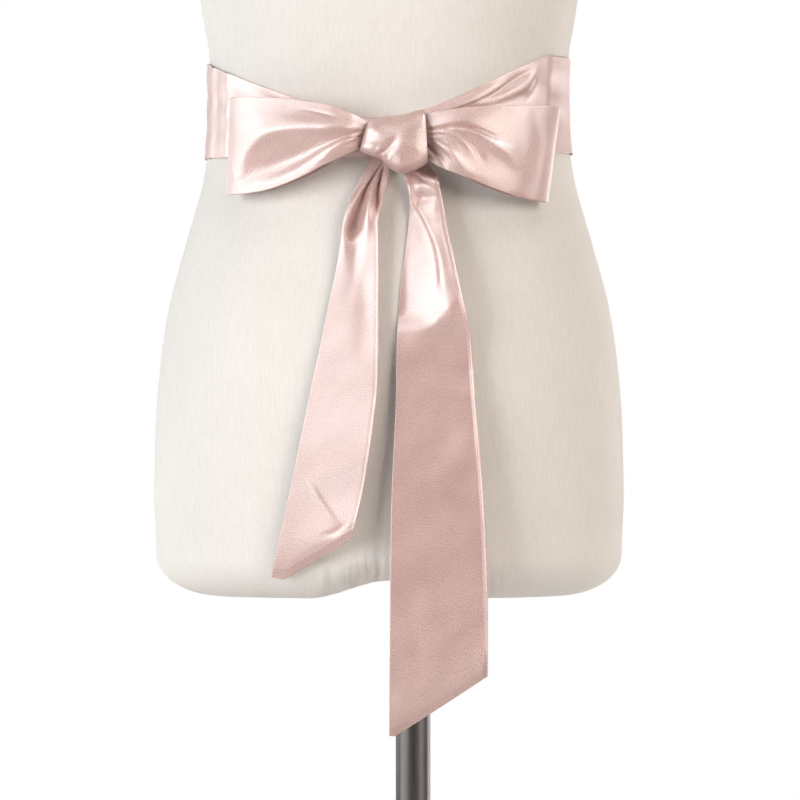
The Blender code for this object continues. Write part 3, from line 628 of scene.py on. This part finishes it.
def tail_grid(rows, cut, folds, across_count, along_count, strokes, seam):
    """The middle of a tail's cloth, cut slantwise at its end: the left edge is the longer one."""
    w = shares(across_count)[:, None]
    share = shares(along_count)[None, :]
    end = np.minimum(cut.left + (cut.right - cut.left) * w, cut.blunt + cut.blunt_slope * w)
    down = rows[0].down + (end - rows[0].down) * share
    left, right = smoothed(rows, "left", down), smoothed(rows, "right", down)
    near_left, near_right = smoothed(rows, "left_front", down), smoothed(rows, "right_front", down)
    x = KNOT_X + left + (right - left) * w
    y = -(near_left + (near_right - near_left) * w)
    base = np.stack([x, y, KNOT_Z - down], axis=-1)
    shift = fold_shift(folds, w[:, 0], share[0])
    shift += stroke_shift(x - KNOT_X, -down, strokes)
    slope = (cut.left - cut.right) / np.maximum(right - left, 1.0)
    from_end = (end - down) / np.hypot(1.0, slope)
    groove = np.exp(-(((from_end - HEM_WIDTH) / HEM_LINE) ** 2))
    shift -= HEM_TUCK * (1 - eased(from_end / HEM_WIDTH)) + HEM_GROOVE * groove
    from_side = (1 - w) * (right - left)
    shift -= seam * np.exp(-(((from_side - SEAM_INSET) / SEAM_LINE) ** 2))
    towards = np.array([0.0, -1.0, 0.0])
    return over_the_form(base + towards * shift[..., None], WALL / 2 + CLEARANCE)


LEFT_LOOP_STROKES = [
    # The hollow that opens outwards, its steep side below, and the rim that curves round it
    Stroke([
        (-24, 6.2, -0.8, 1.0), (-33, 3.1, -2.0, 1.6), (-45, -1.8, -3.6, 3.2), (-57, -7.4, -5.6, 5.0),
        (-70, -13.0, -7.4, 6.8), (-83, -18.0, -7.6, 8.0), (-95, -21.6, -6.0, 8.4), (-104, -24.6, -3.4, 7.6),
        (-112, -27.0, -0.2, 6.4),
    ], skew=2.0),
    Stroke([
        (-28, 9.0, 0.4, 1.6), (-42, 8.4, 1.6, 2.8), (-56, 9.0, 2.4, 4.0), (-72, 9.6, 2.8, 5.2),
        (-90, 7, 2.6, 6.0), (-103, -3, 2.0, 6.0), (-109, -20, 1.0, 6.0),
    ], skew=1.6),
    # The crisp roll and the dimple beside the knot
    Stroke([(-64, -15, 0.0, 3.4), (-46, -6.4, 1.5, 2.6), (-34, -1.0, 2.0, 2.0), (-26, 2.6, 1.3, 1.5)]),
    Stroke([(-33, 1.6, -0.4, 0.9), (-28.5, 2.4, -1.5, 1.0), (-24, 2.6, -1.3, 1.0)]),
    # Fine lines under the upper edge and along the lower one
    Stroke([(-70, 23.5, 0.0, 1.4), (-48, 18.5, -0.8, 1.2), (-22, 10.4, -0.8, 1.0)]),
    Stroke([(-56, 20, 0.0, 1.3), (-38, 14.4, -0.6, 1.0), (-22, 8.6, -0.6, 0.9)]),
    Stroke([(-70, -24, 0.0, 2.0), (-50, -15, -0.5, 1.6), (-30, -5.5, -0.6, 1.1)]),
]
RIGHT_LOOP_STROKES = [
    # The pleat under the flat upper panel, steep above and easy below
    Stroke([
        (23, 7.6, -1.6, 0.9), (36.3, 9.8, -2.4, 1.1), (48.4, 10.6, -2.8, 1.4), (58.8, 7.4, -2.6, 1.6),
        (71, 2.0, -1.8, 2.2), (84, -6, 0.0, 3.4),
    ], skew=1.3),
    # The arc that turns down from it, and the fine ones inside
    Stroke([
        (36, 8.4, -0.6, 1.1), (43.4, 5.8, -1.7, 1.3), (51.4, 0.7, -2.0, 1.7), (58.4, -7.3, -1.8, 2.2),
        (62, -14, -0.4, 2.6),
    ]),
    Stroke([(24, 3.4, -1.0, 0.9), (33, 4.4, -1.0, 0.9), (42, 0.6, -0.8, 1.0), (49, -6, -0.5, 1.2)]),
    Stroke([(24, 0.6, -0.9, 0.8), (31, 0.8, -0.8, 0.8), (38, -2.4, -0.6, 0.9), (44, -8, -0.3, 1.0)]),
    # The bright ridges
    Stroke([
        (49, 7.4, 0.8, 2.6), (60.4, 3.6, 3.2, 4.4), (70.8, -2.8, 4.4, 6.0), (81, -9, 3.4, 7.4),
        (89, -20, 0.6, 8.0),
    ], skew=0.62),
    Stroke([
        (28, -0.4, 1.0, 1.8), (33.4, -4.0, 3.4, 2.8), (40.0, -9.6, 4.4, 3.8), (46, -17.4, 3.4, 4.6),
        (54, -25, 0.6, 5.0),
    ], skew=0.6),
    Stroke([
        (23, -3.6, -1.8, 1.4), (28.4, -8.4, -3.0, 1.7), (32.8, -13.0, -2.4, 1.9), (37, -20, -0.6, 2.0),
    ]),
    # The dip before the outer edge, and the puckers at the lower corner
    Stroke([(100, 20, -0.5, 4.0), (102, 0, -1.2, 5.0), (98, -20, -1.6, 6.0), (92, -36, -1.2, 6.0)]),
    Stroke([(80, -37, 0.0, 2.2), (90, -38.5, -1.1, 2.0), (98, -43, -1.2, 2.2)]),
]
LEFT_TAIL_STROKES = [
    # The gap lines that open into rounded pockets
    Stroke([
        (-6.9, -12.6, -1.4, 0.8), (-15.7, -26, -4.4, 1.1), (-20.0, -33.5, -5.4, 1.5), (-23, -42, -6.0, 2.6),
        (-26.0, -51, -7.0, 4.0), (-28.6, -60, -9.0, 4.4), (-30.0, -66, -6.5, 3.6), (-30.6, -71, -0.4, 2.8),
    ]),
    Stroke([
        (-6.9, -15.5, -1.0, 0.8), (-9.8, -26, -4.0, 1.1), (-11.6, -35.5, -5.6, 1.7), (-11.6, -43, -5.6, 2.1),
        (-12.4, -51, -0.8, 1.9),
    ]),
    # The rolls between them
    Stroke([
        (-22, -30, 0.4, 1.4), (-30, -46, 2.4, 2.2), (-34, -60, 2.8, 2.6), (-35, -74, 1.2, 3.4),
        (-36, -90, 0.0, 4.0),
    ]),
    Stroke([
        (-10.5, -20, 0.5, 1.4), (-15.5, -34, 2.6, 2.0), (-18, -47, 3.2, 2.6), (-19, -58, 1.6, 3.4),
        (-20, -72, 0.0, 4.6),
    ]),
    Stroke([(-5.0, -18, 0.2, 0.9), (-5.6, -32, 0.9, 1.2), (-8, -44, 0.8, 1.4)]),
    # Soft dents further down, and the crease and puckers at the hem
    Stroke([(-22, -84, 0.0, 6.0), (-21, -102, -0.7, 6.0), (-20, -126, -0.7, 7.0), (-21, -160, 0.0, 8.0)]),
    Stroke([(-62, -236, 0.0, 1.8), (-54, -249, 0.7, 2.0), (-45, -262, 0.8, 2.0), (-39, -270, 0.2, 1.6)]),
    Stroke([(-49, -277, -0.2, 2.4), (-42, -275, -0.8, 2.6), (-35, -270, -0.4, 2.4)]),
]
RIGHT_TAIL_STROKES = [
    # The flap at the knot, its small curl, and the dark dip under it
    Stroke([(17, -25.5, -0.4, 0.9), (24, -28.6, -1.8, 1.0), (30.5, -33.4, -1.2, 1.1)]),
    Stroke([(14, -19, 1.0, 3.0), (23, -24.5, 3.8, 3.6), (32, -29, 3.2, 3.4)], skew=0.6),
    Stroke([(9, -26, 0.8, 2.2), (11.6, -36, 1.8, 2.4), (13.2, -47, 0.6, 2.6)]),
    Stroke([(29, -38, -0.8, 3.6), (20.5, -39, -2.8, 5.2), (15, -38, -1.0, 3.6)]),
    # The crest, easy on its left side, and the fine line beside it
    Stroke([
        (11, -39, 0.8, 2.4), (20.0, -56.5, 1.8, 3.2), (25.8, -69.4, 2.2, 4.4), (29.5, -84, 2.4, 5.6),
        (33, -100, 2.8, 8.0), (37, -116, 3.2, 9.0), (39, -128, 1.0, 9.0),
    ], skew=1.8),
    Stroke([
        (14, -42, -0.3, 0.9), (21.6, -56.5, -1.3, 1.0), (27.3, -69.6, -1.6, 1.1), (31, -83, -1.5, 1.4),
        (32.6, -98, -1.0, 1.8), (32.4, -108, 0.0, 2.4),
    ]),
    # The belly's lower bend
    Stroke([
        (-4, -127, 1.2, 6.0), (8, -130.5, 2.0, 6.2), (20.6, -132, 2.2, 6.6), (34, -126, 1.8, 7.0),
        (42, -114, 1.0, 7.0),
    ]),
    # Soft swells across the long flat stretch
    Stroke([(62, -190, 0.0, 8.0), (46, -222, 1.2, 11.0), (20, -262, 0.0, 12.0)]),
    Stroke([(64, -286, 0.0, 9.0), (50, -318, 1.2, 12.0), (20, -348, 0.0, 12.0)]),
    Stroke([(14, -300, 0.0, 10.0), (10, -334, -1.2, 9.0), (16, -366, -0.2, 8.0)]),
    Stroke([(2, -384, 0.2, 5.0), (6, -396, 1.6, 6.0), (10, -408, 0.8, 6.0)]),
    Stroke([(60, -356, 0.0, 2.4), (61.5, -366, 1.2, 2.6), (62, -374, 1.0, 2.4)]),
]
WAIST_STROKES = [
    # Pleats that run into the knot from the left and from the right
    Stroke([
        (-96, 38, 0.0, 2.0), (-74, 31, -0.8, 1.6), (-52, 26, -1.4, 1.5), (-34, 21, -1.6, 1.3),
        (-19, 14, -1.2, 1.2),
    ]),
    Stroke([(-84, 40, 0.0, 1.6), (-54, 30, 0.6, 1.4), (-30, 22, 0.8, 1.2), (-18, 16, 0.6, 1.1)]),
    Stroke([(-70, 24, 0.0, 1.6), (-44, 20, -1.0, 1.3), (-22, 11, -1.0, 1.2)]),
    Stroke([(98, 62, 0.0, 1.6), (68, 38, -0.7, 1.2), (43, 28, -0.9, 1.1), (24, 20, -0.9, 1.0)]),
    Stroke([
        (98, 53, -0.8, 2.4), (87, 47, -2.8, 3.2), (75, 38, -2.4, 2.8), (61, 31, -1.2, 2.0),
        (40, 23, -0.6, 1.4),
    ]),
    Stroke([(101, 55, 0.6, 3.8), (94, 44, 1.5, 4.8), (84, 37, 1.2, 4.2), (70, 29, 0.3, 3.0)]),
    Stroke([(102, 50, -0.4, 1.6), (101, 42, -1.2, 1.8), (96, 34, -0.5, 2.0)]),
]
# The same round the back, where the cloth is pulled a little slantwise
BACK_STROKES = [
    Stroke([(-104, 58, 0.0, 2.6), (-66, 51, 1.0, 3.0), (-18, 47, 0.8, 3.4), (30, 50, 0.0, 3.0)]),
    Stroke([(-40, 27, 0.0, 2.4), (2, 31, 1.1, 2.8), (52, 40, 0.7, 3.2), (98, 46, 0.0, 2.8)]),
    Stroke([(-92, 12, 0.0, 2.4), (-58, 17, 0.8, 2.6), (-22, 15, 0.0, 2.4)]),
    Stroke([(24, 10, 0.0, 2.2), (62, 14, 0.9, 2.6), (100, 22, 0.0, 2.6)]),
]
# How far in front of or behind the middle the front's and the back's folds fade out
FACING_FADE = 24.0


# Materials: the satin's two tones and the part of its grain between them
SATIN_TONES = ((0.31, 0.187, 0.168), (0.765, 0.534, 0.502))
SATIN_TONE_SPAN = (0.40, 0.60)
# Diagonal dashes of the satin weave, longer than they are wide, and how much softer patches count beside them
GRAIN_SCALE = (1360.0, 2200.0, 1.0)
GRAIN_SLANT = 28.0
PATCH_SHARE = 0.12
# The jersey's tones, its upright ribs and how much a softer cloudiness counts beside them
JERSEY_TONES = ((0.73, 0.715, 0.69), (0.81, 0.80, 0.775))
JERSEY_TONE_SPAN = (0.28, 0.70)
RIB_SCALE = (700.0, 700.0, 75.0)
CLOUD_SHARE = 0.35
# The gathers of the cover: how close they lie, and how far up and how far from the pole they reach
PUCKER_SCALE = (150.0, 20.0, 34.0)
PUCKER_REACH = 46.0
PUCKER_SPAN = 105.0
PUCKER_CORE = 35.0
# The brushed metal's tones, lines and roughness
METAL_TONES = ((0.055, 0.051, 0.049), (0.105, 0.098, 0.095))
BRUSH_SCALE = (900.0, 900.0, 30.0)
METAL_ROUGHNESS = (0.3, 0.46)
FLOOR_COLOUR = (0.86, 0.85, 0.84, 1.0)


def shader_of(name):
    """A new material's node tree, its shader and a function that adds nodes."""
    made = bpy.data.materials.new(name)
    made.use_nodes = True
    tree = made.node_tree

    def add(kind, **values):
        node = tree.nodes.new(kind)
        for key, value in values.items():
            if key in node.inputs:
                node.inputs[key].default_value = value
            else:
                setattr(node, key, value)
        return node

    return made, tree, tree.nodes["Principled BSDF"], add


def toned(tree, add, shader, value, colours, span=(0.0, 1.0)):
    """Colours the shader by a value: the first colour where it is low, the second where it is high."""
    ramp = add("ShaderNodeValToRGB")
    for element, place, colour in zip(ramp.color_ramp.elements, span, colours):
        element.position = place
        element.color = (*colour, 1.0)
    tree.links.new(value, ramp.inputs["Fac"])
    tree.links.new(ramp.outputs["Color"], shader.inputs["Base Color"])


def stretched(tree, add, place, scale, slant=0.0):
    """Places scaled along their axes, after a turn of slant degrees."""
    mapping = add("ShaderNodeMapping")
    mapping.inputs["Rotation"].default_value = (0.0, 0.0, math.radians(slant))
    mapping.inputs["Scale"].default_value = scale
    tree.links.new(place, mapping.inputs["Vector"])
    return mapping.outputs["Vector"]


def blended(tree, add, first, second, share):
    """Two values mixed, with this share of the second."""
    blend = add("ShaderNodeMix", data_type="FLOAT")
    blend.inputs[0].default_value = share
    tree.links.new(first, blend.inputs[2])
    tree.links.new(second, blend.inputs[3])
    return blend.outputs[0]


def satin_material():
    made, tree, shader, add = shader_of("pink_satin")
    link = tree.links.new
    uv = add("ShaderNodeUVMap", uv_map="cloth")
    grain = add("ShaderNodeTexNoise", noise_dimensions="2D", Scale=1.0, Detail=2.0, Roughness=0.6)
    link(stretched(tree, add, uv.outputs["UV"], GRAIN_SCALE, GRAIN_SLANT), grain.inputs["Vector"])
    patches = add("ShaderNodeTexNoise", noise_dimensions="2D", Scale=38.0, Detail=3.0, Roughness=0.55)
    link(uv.outputs["UV"], patches.inputs["Vector"])
    weave = blended(tree, add, grain.outputs["Fac"], patches.outputs["Fac"], PATCH_SHARE)
    toned(tree, add, shader, weave, SATIN_TONES, SATIN_TONE_SPAN)
    bump = add("ShaderNodeBump", Strength=0.4, Distance=0.0002)
    link(grain.outputs["Fac"], bump.inputs["Height"])
    link(bump.outputs["Normal"], shader.inputs["Normal"])
    tangent = add("ShaderNodeTangent", direction_type="UV_MAP", uv_map="cloth")
    link(tangent.outputs["Tangent"], shader.inputs["Tangent"])
    shader.inputs["Roughness"].default_value = 0.34
    shader.inputs["IOR"].default_value = 1.75
    shader.inputs["Specular IOR Level"].default_value = 0.9
    shader.inputs["Anisotropic"].default_value = 0.3
    return made


def jersey_material():
    made, tree, shader, add = shader_of("cream_jersey")
    link = tree.links.new
    place = add("ShaderNodeTexCoord")
    ribs = add("ShaderNodeTexNoise", Scale=1.0, Detail=2.0, Roughness=0.6)
    link(stretched(tree, add, place.outputs["Object"], RIB_SCALE), ribs.inputs["Vector"])
    cloud = add("ShaderNodeTexNoise", Scale=16.0, Detail=3.0, Roughness=0.5)
    link(place.outputs["Object"], cloud.inputs["Vector"])
    knit = blended(tree, add, ribs.outputs["Fac"], cloud.outputs["Fac"], CLOUD_SHARE)
    toned(tree, add, shader, knit, JERSEY_TONES, JERSEY_TONE_SPAN)
    bump = add("ShaderNodeBump", Strength=0.2, Distance=0.0004)
    link(ribs.outputs["Fac"], bump.inputs["Height"])
    # Gathers of the cover, only low down and near the pole
    puckers = add("ShaderNodeTexNoise", Scale=1.0, Detail=1.0, Roughness=0.4)
    link(stretched(tree, add, place.outputs["Object"], PUCKER_SCALE), puckers.inputs["Vector"])
    split = add("ShaderNodeSeparateXYZ")
    link(place.outputs["Object"], split.inputs["Vector"])
    low = add("ShaderNodeMapRange", interpolation_type="SMOOTHSTEP")
    low.inputs["From Min"].default_value = (FORM_BOTTOM + PUCKER_REACH) * MM
    low.inputs["From Max"].default_value = (FORM_BOTTOM + ARCH_RISE) * MM
    link(split.outputs["Z"], low.inputs["Value"])
    beside = add("ShaderNodeMath", operation="ABSOLUTE")
    link(split.outputs["X"], beside.inputs[0])
    near = add("ShaderNodeMapRange", interpolation_type="SMOOTHSTEP")
    near.inputs["From Min"].default_value = PUCKER_SPAN * MM
    near.inputs["From Max"].default_value = PUCKER_CORE * MM
    link(beside.outputs[0], near.inputs["Value"])
    there = add("ShaderNodeMath", operation="MULTIPLY")
    link(low.outputs["Result"], there.inputs[0])
    link(near.outputs["Result"], there.inputs[1])
    height = add("ShaderNodeMath", operation="MULTIPLY")
    link(puckers.outputs["Fac"], height.inputs[0])
    link(there.outputs[0], height.inputs[1])
    gathered = add("ShaderNodeBump", Strength=1.0, Distance=0.0042)
    link(height.outputs[0], gathered.inputs["Height"])
    link(bump.outputs["Normal"], gathered.inputs["Normal"])
    link(gathered.outputs["Normal"], shader.inputs["Normal"])
    shader.inputs["Roughness"].default_value = 0.9
    shader.inputs["Specular IOR Level"].default_value = 0.1
    return made


def metal_material():
    made, tree, shader, add = shader_of("gunmetal")
    link = tree.links.new
    place = add("ShaderNodeTexCoord")
    brushed = add("ShaderNodeTexNoise", Scale=1.0, Detail=3.0, Roughness=0.6)
    link(stretched(tree, add, place.outputs["Object"], BRUSH_SCALE), brushed.inputs["Vector"])
    toned(tree, add, shader, brushed.outputs["Fac"], METAL_TONES)
    rough = add("ShaderNodeMapRange")
    rough.inputs["To Min"].default_value, rough.inputs["To Max"].default_value = METAL_ROUGHNESS
    link(brushed.outputs["Fac"], rough.inputs["Value"])
    link(rough.outputs["Result"], shader.inputs["Roughness"])
    shader.inputs["Metallic"].default_value = 0.75
    return made


def floor_material():
    made, _, shader, _ = shader_of("pale_floor")
    shader.inputs["Base Color"].default_value = FLOOR_COLOUR
    shader.inputs["Roughness"].default_value = 0.85
    return made


satin = satin_material()
jersey = jersey_material()
gunmetal = metal_material()


# Edges sharper than these stay crisp, in degrees
ROUND_SHARP = 40
BODY_SHARP = 55


def turned(name, profile, finish, centre_x=0.0, squeeze=1.0):
    """A solid of revolution about an upright axis. The profile runs from the axis out and back to it."""
    turn = np.arange(ROUND_SIDES) * 2 * math.pi / ROUND_SIDES
    points, faces, rings = [], [], []
    for radius, height in profile:
        if radius == 0:
            rings.append(np.full(ROUND_SIDES, len(points)))
            points.append((centre_x, 0.0, height))
            continue
        rings.append(len(points) + np.arange(ROUND_SIDES))
        x, y = centre_x + radius * np.cos(turn), squeeze * radius * np.sin(turn)
        points.extend(np.stack([x, y, 0 * turn + height], axis=1).tolist())
    for lower, upper in zip(rings, rings[1:]):
        faces.extend(np.stack([lower, np.roll(lower, -1), np.roll(upper, -1), upper], axis=1).tolist())
    made = mesh_object(name, points, faces, finish)
    made.data.set_sharp_from_angle(angle=math.radians(ROUND_SHARP))
    return made


def build_stand():
    bore = POLE_RADIUS + CLEARANCE
    socket = [(0, BASE_SOCKET_FLOOR), (bore, BASE_SOCKET_FLOOR), (bore, BASE_OUTLINE[0][1])]
    base = turned("stand_foot", socket + BASE_OUTLINE + [(0, 0)], gunmetal)
    bottom, top = BASE_SOCKET_FLOOR + CLEARANCE, SOCKET_TOP - CLEARANCE
    rim = [(POLE_RADIUS, top - POLE_CHAMFER), (POLE_RADIUS - POLE_CHAMFER, top)]
    pole = turned("stand_tube", [(0, bottom), (POLE_RADIUS, bottom), *rim, (0, top)], gunmetal)
    neck = float(smoothed(FORM_SECTIONS, "half_width", FORM_TOP))
    depth = float(smoothed(FORM_SECTIONS, "back", FORM_TOP))
    side = [(neck + out, FORM_TOP + CLEARANCE + up) for out, up in CAP_OUTLINE]
    outline = [(0, side[0][1]), *side, (0, side[-1][1])]
    cap = turned("neck_cap", outline, gunmetal, centre_x=FORM_X, squeeze=depth / neck)
    for piece, node in ((base, "stand_base"), (pole, "stand_pole"), (cap, "form_neck_cap")):
        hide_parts(node)


# The body's mesh, and the gathers of its cover round the pole
BODY_SIDES = 200
BODY_RINGS = 230
CORNER_RINGS = 24
UNDERSIDE_RINGS = 26
GATHERS = 22
GATHER_DEEP = 1.1
# How far above the arched underside the pole's well begins
WELL_EDGE = 4.0


def build_body():
    """The body as one mesh: the pole's well, the underside outwards from it, then the sides up to the neck."""
    turn = np.arange(BODY_SIDES) * 2 * math.pi / BODY_SIDES
    low = FORM_BOTTOM + CORNER_HEIGHT * (1 - np.cos(np.linspace(0.0, math.pi / 2, CORNER_RINGS)))
    high = np.linspace(low[-1], FORM_TOP, BODY_RINGS)[1:]
    heights = np.concatenate([low, high])
    rings = [form_surface(turn, height) for height in heights]
    edge = rings[0]
    bore = POLE_RADIUS + CLEARANCE
    around = np.stack([np.sin(turn), -np.cos(turn)], axis=1) * bore
    inner = []
    for share in np.linspace(0.0, 1.0, UNDERSIDE_RINGS, endpoint=False):
        flat = edge.copy()
        flat[:, :2] = around + (edge[:, :2] - around) * share
        flat[:, 2] = FORM_BOTTOM + ARCH_RISE * (1 - eased(np.abs(flat[:, 0] - FORM_X) / ARCH_HALF_SPAN))
        flat[:, 2] += GATHER_DEEP * np.cos(GATHERS * turn) * np.sin(math.pi * share) * (1 - share)
        inner.append(flat)
    well = []
    for height in (SOCKET_TOP, FORM_BOTTOM + ARCH_RISE + WELL_EDGE):
        well.append(np.stack([around[:, 0], around[:, 1], 0 * turn + height], axis=1))
    rings = well + inner + rings
    points = np.concatenate(rings)
    points = np.concatenate([points, [[0.0, 0.0, SOCKET_TOP], [FORM_X, 0.0, FORM_TOP]]])
    faces = []
    steps = np.arange(BODY_SIDES)
    for ring in range(len(rings) - 1):
        a, b = ring * BODY_SIDES + steps, (ring + 1) * BODY_SIDES + steps
        faces.extend(np.stack([a, np.roll(a, -1), np.roll(b, -1), b], axis=1).tolist())
    last = (len(rings) - 1) * BODY_SIDES + steps
    for here in steps:
        there = (here + 1) % BODY_SIDES
        faces.append([len(points) - 2, there, here])
        faces.append([len(points) - 1, last[here], last[there]])
    body = mesh_object("form_body", points, faces, jersey)
    body.data.set_sharp_from_angle(angle=math.radians(BODY_SHARP))
    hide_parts("form_torso")


# A stretch of the sash as cut: its flat size and area in metres, how it is held and what it rests on
Sheet = namedtuple("Sheet", "name node flat area held rests_on")
SHEETS = [
    Sheet("sash_band", "sash_waist", (0.069, 0.80), 0.0552, "stretched", "form_body"),
    Sheet("sash_loop_left", "sash_left_loop", (0.069, 0.24), 0.01656, "gathered", "sash_wrap"),
    Sheet("sash_loop_right", "sash_right_loop", (0.069, 0.24), 0.01656, "gathered", "sash_wrap"),
    Sheet("sash_wrap", "sash_knot", (0.052, 0.115), 0.00598, "gathered", "sash_band"),
    Sheet("sash_tail_left", "sash_left_tail", (0.056, 0.32), 0.0171, "hung", "sash_wrap"),
    Sheet("sash_tail_right", "sash_right_tail", (0.069, 0.415), 0.0271, "hung", "sash_wrap"),
]
# The stretches whose cloth closes into a ring
RINGS = ("sash_band", "sash_wrap")
# The counts of grid lines across and along each stretch
BAND_LINES = (56, 420)
LOOP_LINES = (90, 110)
WRAP_LINES = (100, 180)
LEFT_TAIL_LINES = (64, 250)
RIGHT_TAIL_LINES = (110, 300)


def band_grid():
    """The middle of the band's cloth, with its folds at the front and at the back."""
    waist = waist_grid(*BAND_LINES)
    ahead = eased(0.5 - waist[..., 1] / (2 * FACING_FADE))
    waist = drawn(waist, WAIST_STROKES, ahead)
    return drawn(waist, BACK_STROKES, 1 - ahead)


def build_sash():
    grids = [
        band_grid(),
        loop_grid(LEFT_LOOP, -1, LEFT_FRONT_FOLDS, *LOOP_LINES, LEFT_LOOP_STROKES),
        loop_grid(RIGHT_LOOP, 1, RIGHT_FRONT_FOLDS, *LOOP_LINES, RIGHT_LOOP_STROKES),
        knot_grid(*WRAP_LINES),
        tail_grid(LEFT_TAIL, LEFT_TAIL_END, LEFT_TAIL_FOLDS, *LEFT_TAIL_LINES, LEFT_TAIL_STROKES, LEFT_SEAM),
        tail_grid(
            RIGHT_TAIL, RIGHT_TAIL_END, RIGHT_TAIL_FOLDS, *RIGHT_TAIL_LINES, RIGHT_TAIL_STROKES, RIGHT_SEAM
        ),
    ]
    for sheet, grid in zip(SHEETS, grids):
        made = cloth_object(sheet.name, grid, satin, closed=sheet.name in RINGS)
        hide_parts(sheet.node)


# The studio
CAMERA_PLACE = (-0.0096, -2.6, 0.837)
FRAME_WIDTH = 0.588
SENSOR = 36.0
CAMERA_REACH = 100.0
FLOOR_RADIUS = 2.4
FLOOR_DROP = 0.001
WORLD_COLOUR = (1.0, 0.84, 0.74, 1.0)
WORLD_STRENGTH = 0.095
BACKDROP_COLOUR = (1.0, 1.0, 1.0, 1.0)


# Soft boxes round the bow: their turn from the front and their rise in degrees, size, power and colour
SoftBox = namedtuple("SoftBox", "name turn rise width height power colour")
SOFT_BOXES = [
    SoftBox("key", -50, 5, 2.0, 1.8, 78.0, (1.0, 1.0, 1.0)),
    SoftBox("fill", 42, 16, 1.8, 1.6, 50.0, (1.0, 0.885, 0.785)),
    SoftBox("top", 30, 62, 1.6, 1.6, 26.0, (1.0, 0.93, 0.88)),
    SoftBox("rim_right", 130, -8, 1.6, 1.6, 44.0, (1.0, 0.96, 0.94)),
    SoftBox("rim_left", -130, 0, 1.6, 1.6, 24.0, (1.0, 0.96, 0.94)),
    SoftBox("back", 180, 18, 2.2, 1.8, 46.0, (1.0, 0.97, 0.94)),
]
# These are seen in the cloth's sheen alone
SHEEN_BOXES = [
    SoftBox("sheen_left_low", -76, -25, 1.8, 1.6, 62.0, (1.0, 1.0, 1.0)),
    SoftBox("sheen_left", -86, 5, 1.8, 1.6, 42.0, (0.85, 1.0, 1.0)),
    SoftBox("sheen_left_high", -88, 35, 2.0, 1.6, 82.0, (0.95, 1.0, 1.0)),
    SoftBox("sheen_front_high", -30, 35, 1.6, 1.6, 36.0, (0.92, 0.97, 1.0)),
    SoftBox("sheen_right_low", 55, -25, 1.6, 1.6, 42.0, (1.0, 0.8, 0.8)),
    SoftBox("sheen_right", 66, 5, 2.2, 1.6, 38.0, (0.95, 1.0, 1.0)),
    SoftBox("sheen_right_high", 84, 38, 1.4, 1.4, 66.0, (0.95, 0.98, 1.0)),
]
LIGHT_DISTANCE = 3.2
LIGHT_AIM = (0.0, 0.0, 1.0)


def soft_light(box, sheen_only=False):
    data = bpy.data.lights.new(box.name, "AREA")
    data.shape = "RECTANGLE"
    data.size, data.size_y = box.width, box.height
    data.energy = box.power
    data.color = box.colour
    light = bpy.data.objects.new(box.name, data)
    scene.collection.objects.link(light)
    turn, rise = math.radians(box.turn), math.radians(box.rise)
    way = (math.sin(turn) * math.cos(rise), -math.cos(turn) * math.cos(rise), math.sin(rise))
    light.location = np.add(LIGHT_AIM, np.multiply(way, LIGHT_DISTANCE))
    light.rotation_euler = (math.pi / 2 - rise, 0.0, turn)
    light.visible_diffuse = not sheen_only


def build_studio():
    view = bpy.data.cameras.new("view")
    view.sensor_width = SENSOR
    view.lens = SENSOR * -CAMERA_PLACE[1] / FRAME_WIDTH
    view.clip_end = CAMERA_REACH
    camera = bpy.data.objects.new("view", view)
    camera.location = CAMERA_PLACE
    camera.rotation_euler = (math.pi / 2, 0.0, 0.0)
    scene.collection.objects.link(camera)
    scene.camera = camera
    scene.view_settings.view_transform = "Standard"

    turn = np.arange(ROUND_SIDES) * 2 * math.pi / ROUND_SIDES
    x, y = FLOOR_RADIUS * np.cos(turn), FLOOR_RADIUS * np.sin(turn)
    disc = np.stack([x, y, 0 * turn - FLOOR_DROP], axis=1)
    mesh = bpy.data.meshes.new("floor")
    mesh.from_pydata(disc.tolist(), [], [list(range(ROUND_SIDES))])
    mesh.materials.append(floor_material())
    floor = bpy.data.objects.new("floor", mesh)
    scene.collection.objects.link(floor)

    world = bpy.data.worlds.new("studio")
    world.use_nodes = True
    scene.world = world
    nodes, link = world.node_tree.nodes, world.node_tree.links.new
    around = nodes["Background"]
    around.inputs["Color"].default_value = WORLD_COLOUR
    around.inputs["Strength"].default_value = WORLD_STRENGTH
    backdrop = nodes.new("ShaderNodeBackground")
    backdrop.inputs["Color"].default_value = BACKDROP_COLOUR
    path = nodes.new("ShaderNodeLightPath")
    mix = nodes.new("ShaderNodeMixShader")
    link(path.outputs["Is Camera Ray"], mix.inputs["Fac"])
    link(around.outputs["Background"], mix.inputs[1])
    link(backdrop.outputs["Background"], mix.inputs[2])
    link(mix.outputs["Shader"], nodes["World Output"].inputs["Surface"])

    for box in SOFT_BOXES:
        soft_light(box)
    for box in SHEEN_BOXES:
        soft_light(box, sheen_only=True)


build_stand()
build_body()
build_sash()
build_studio()
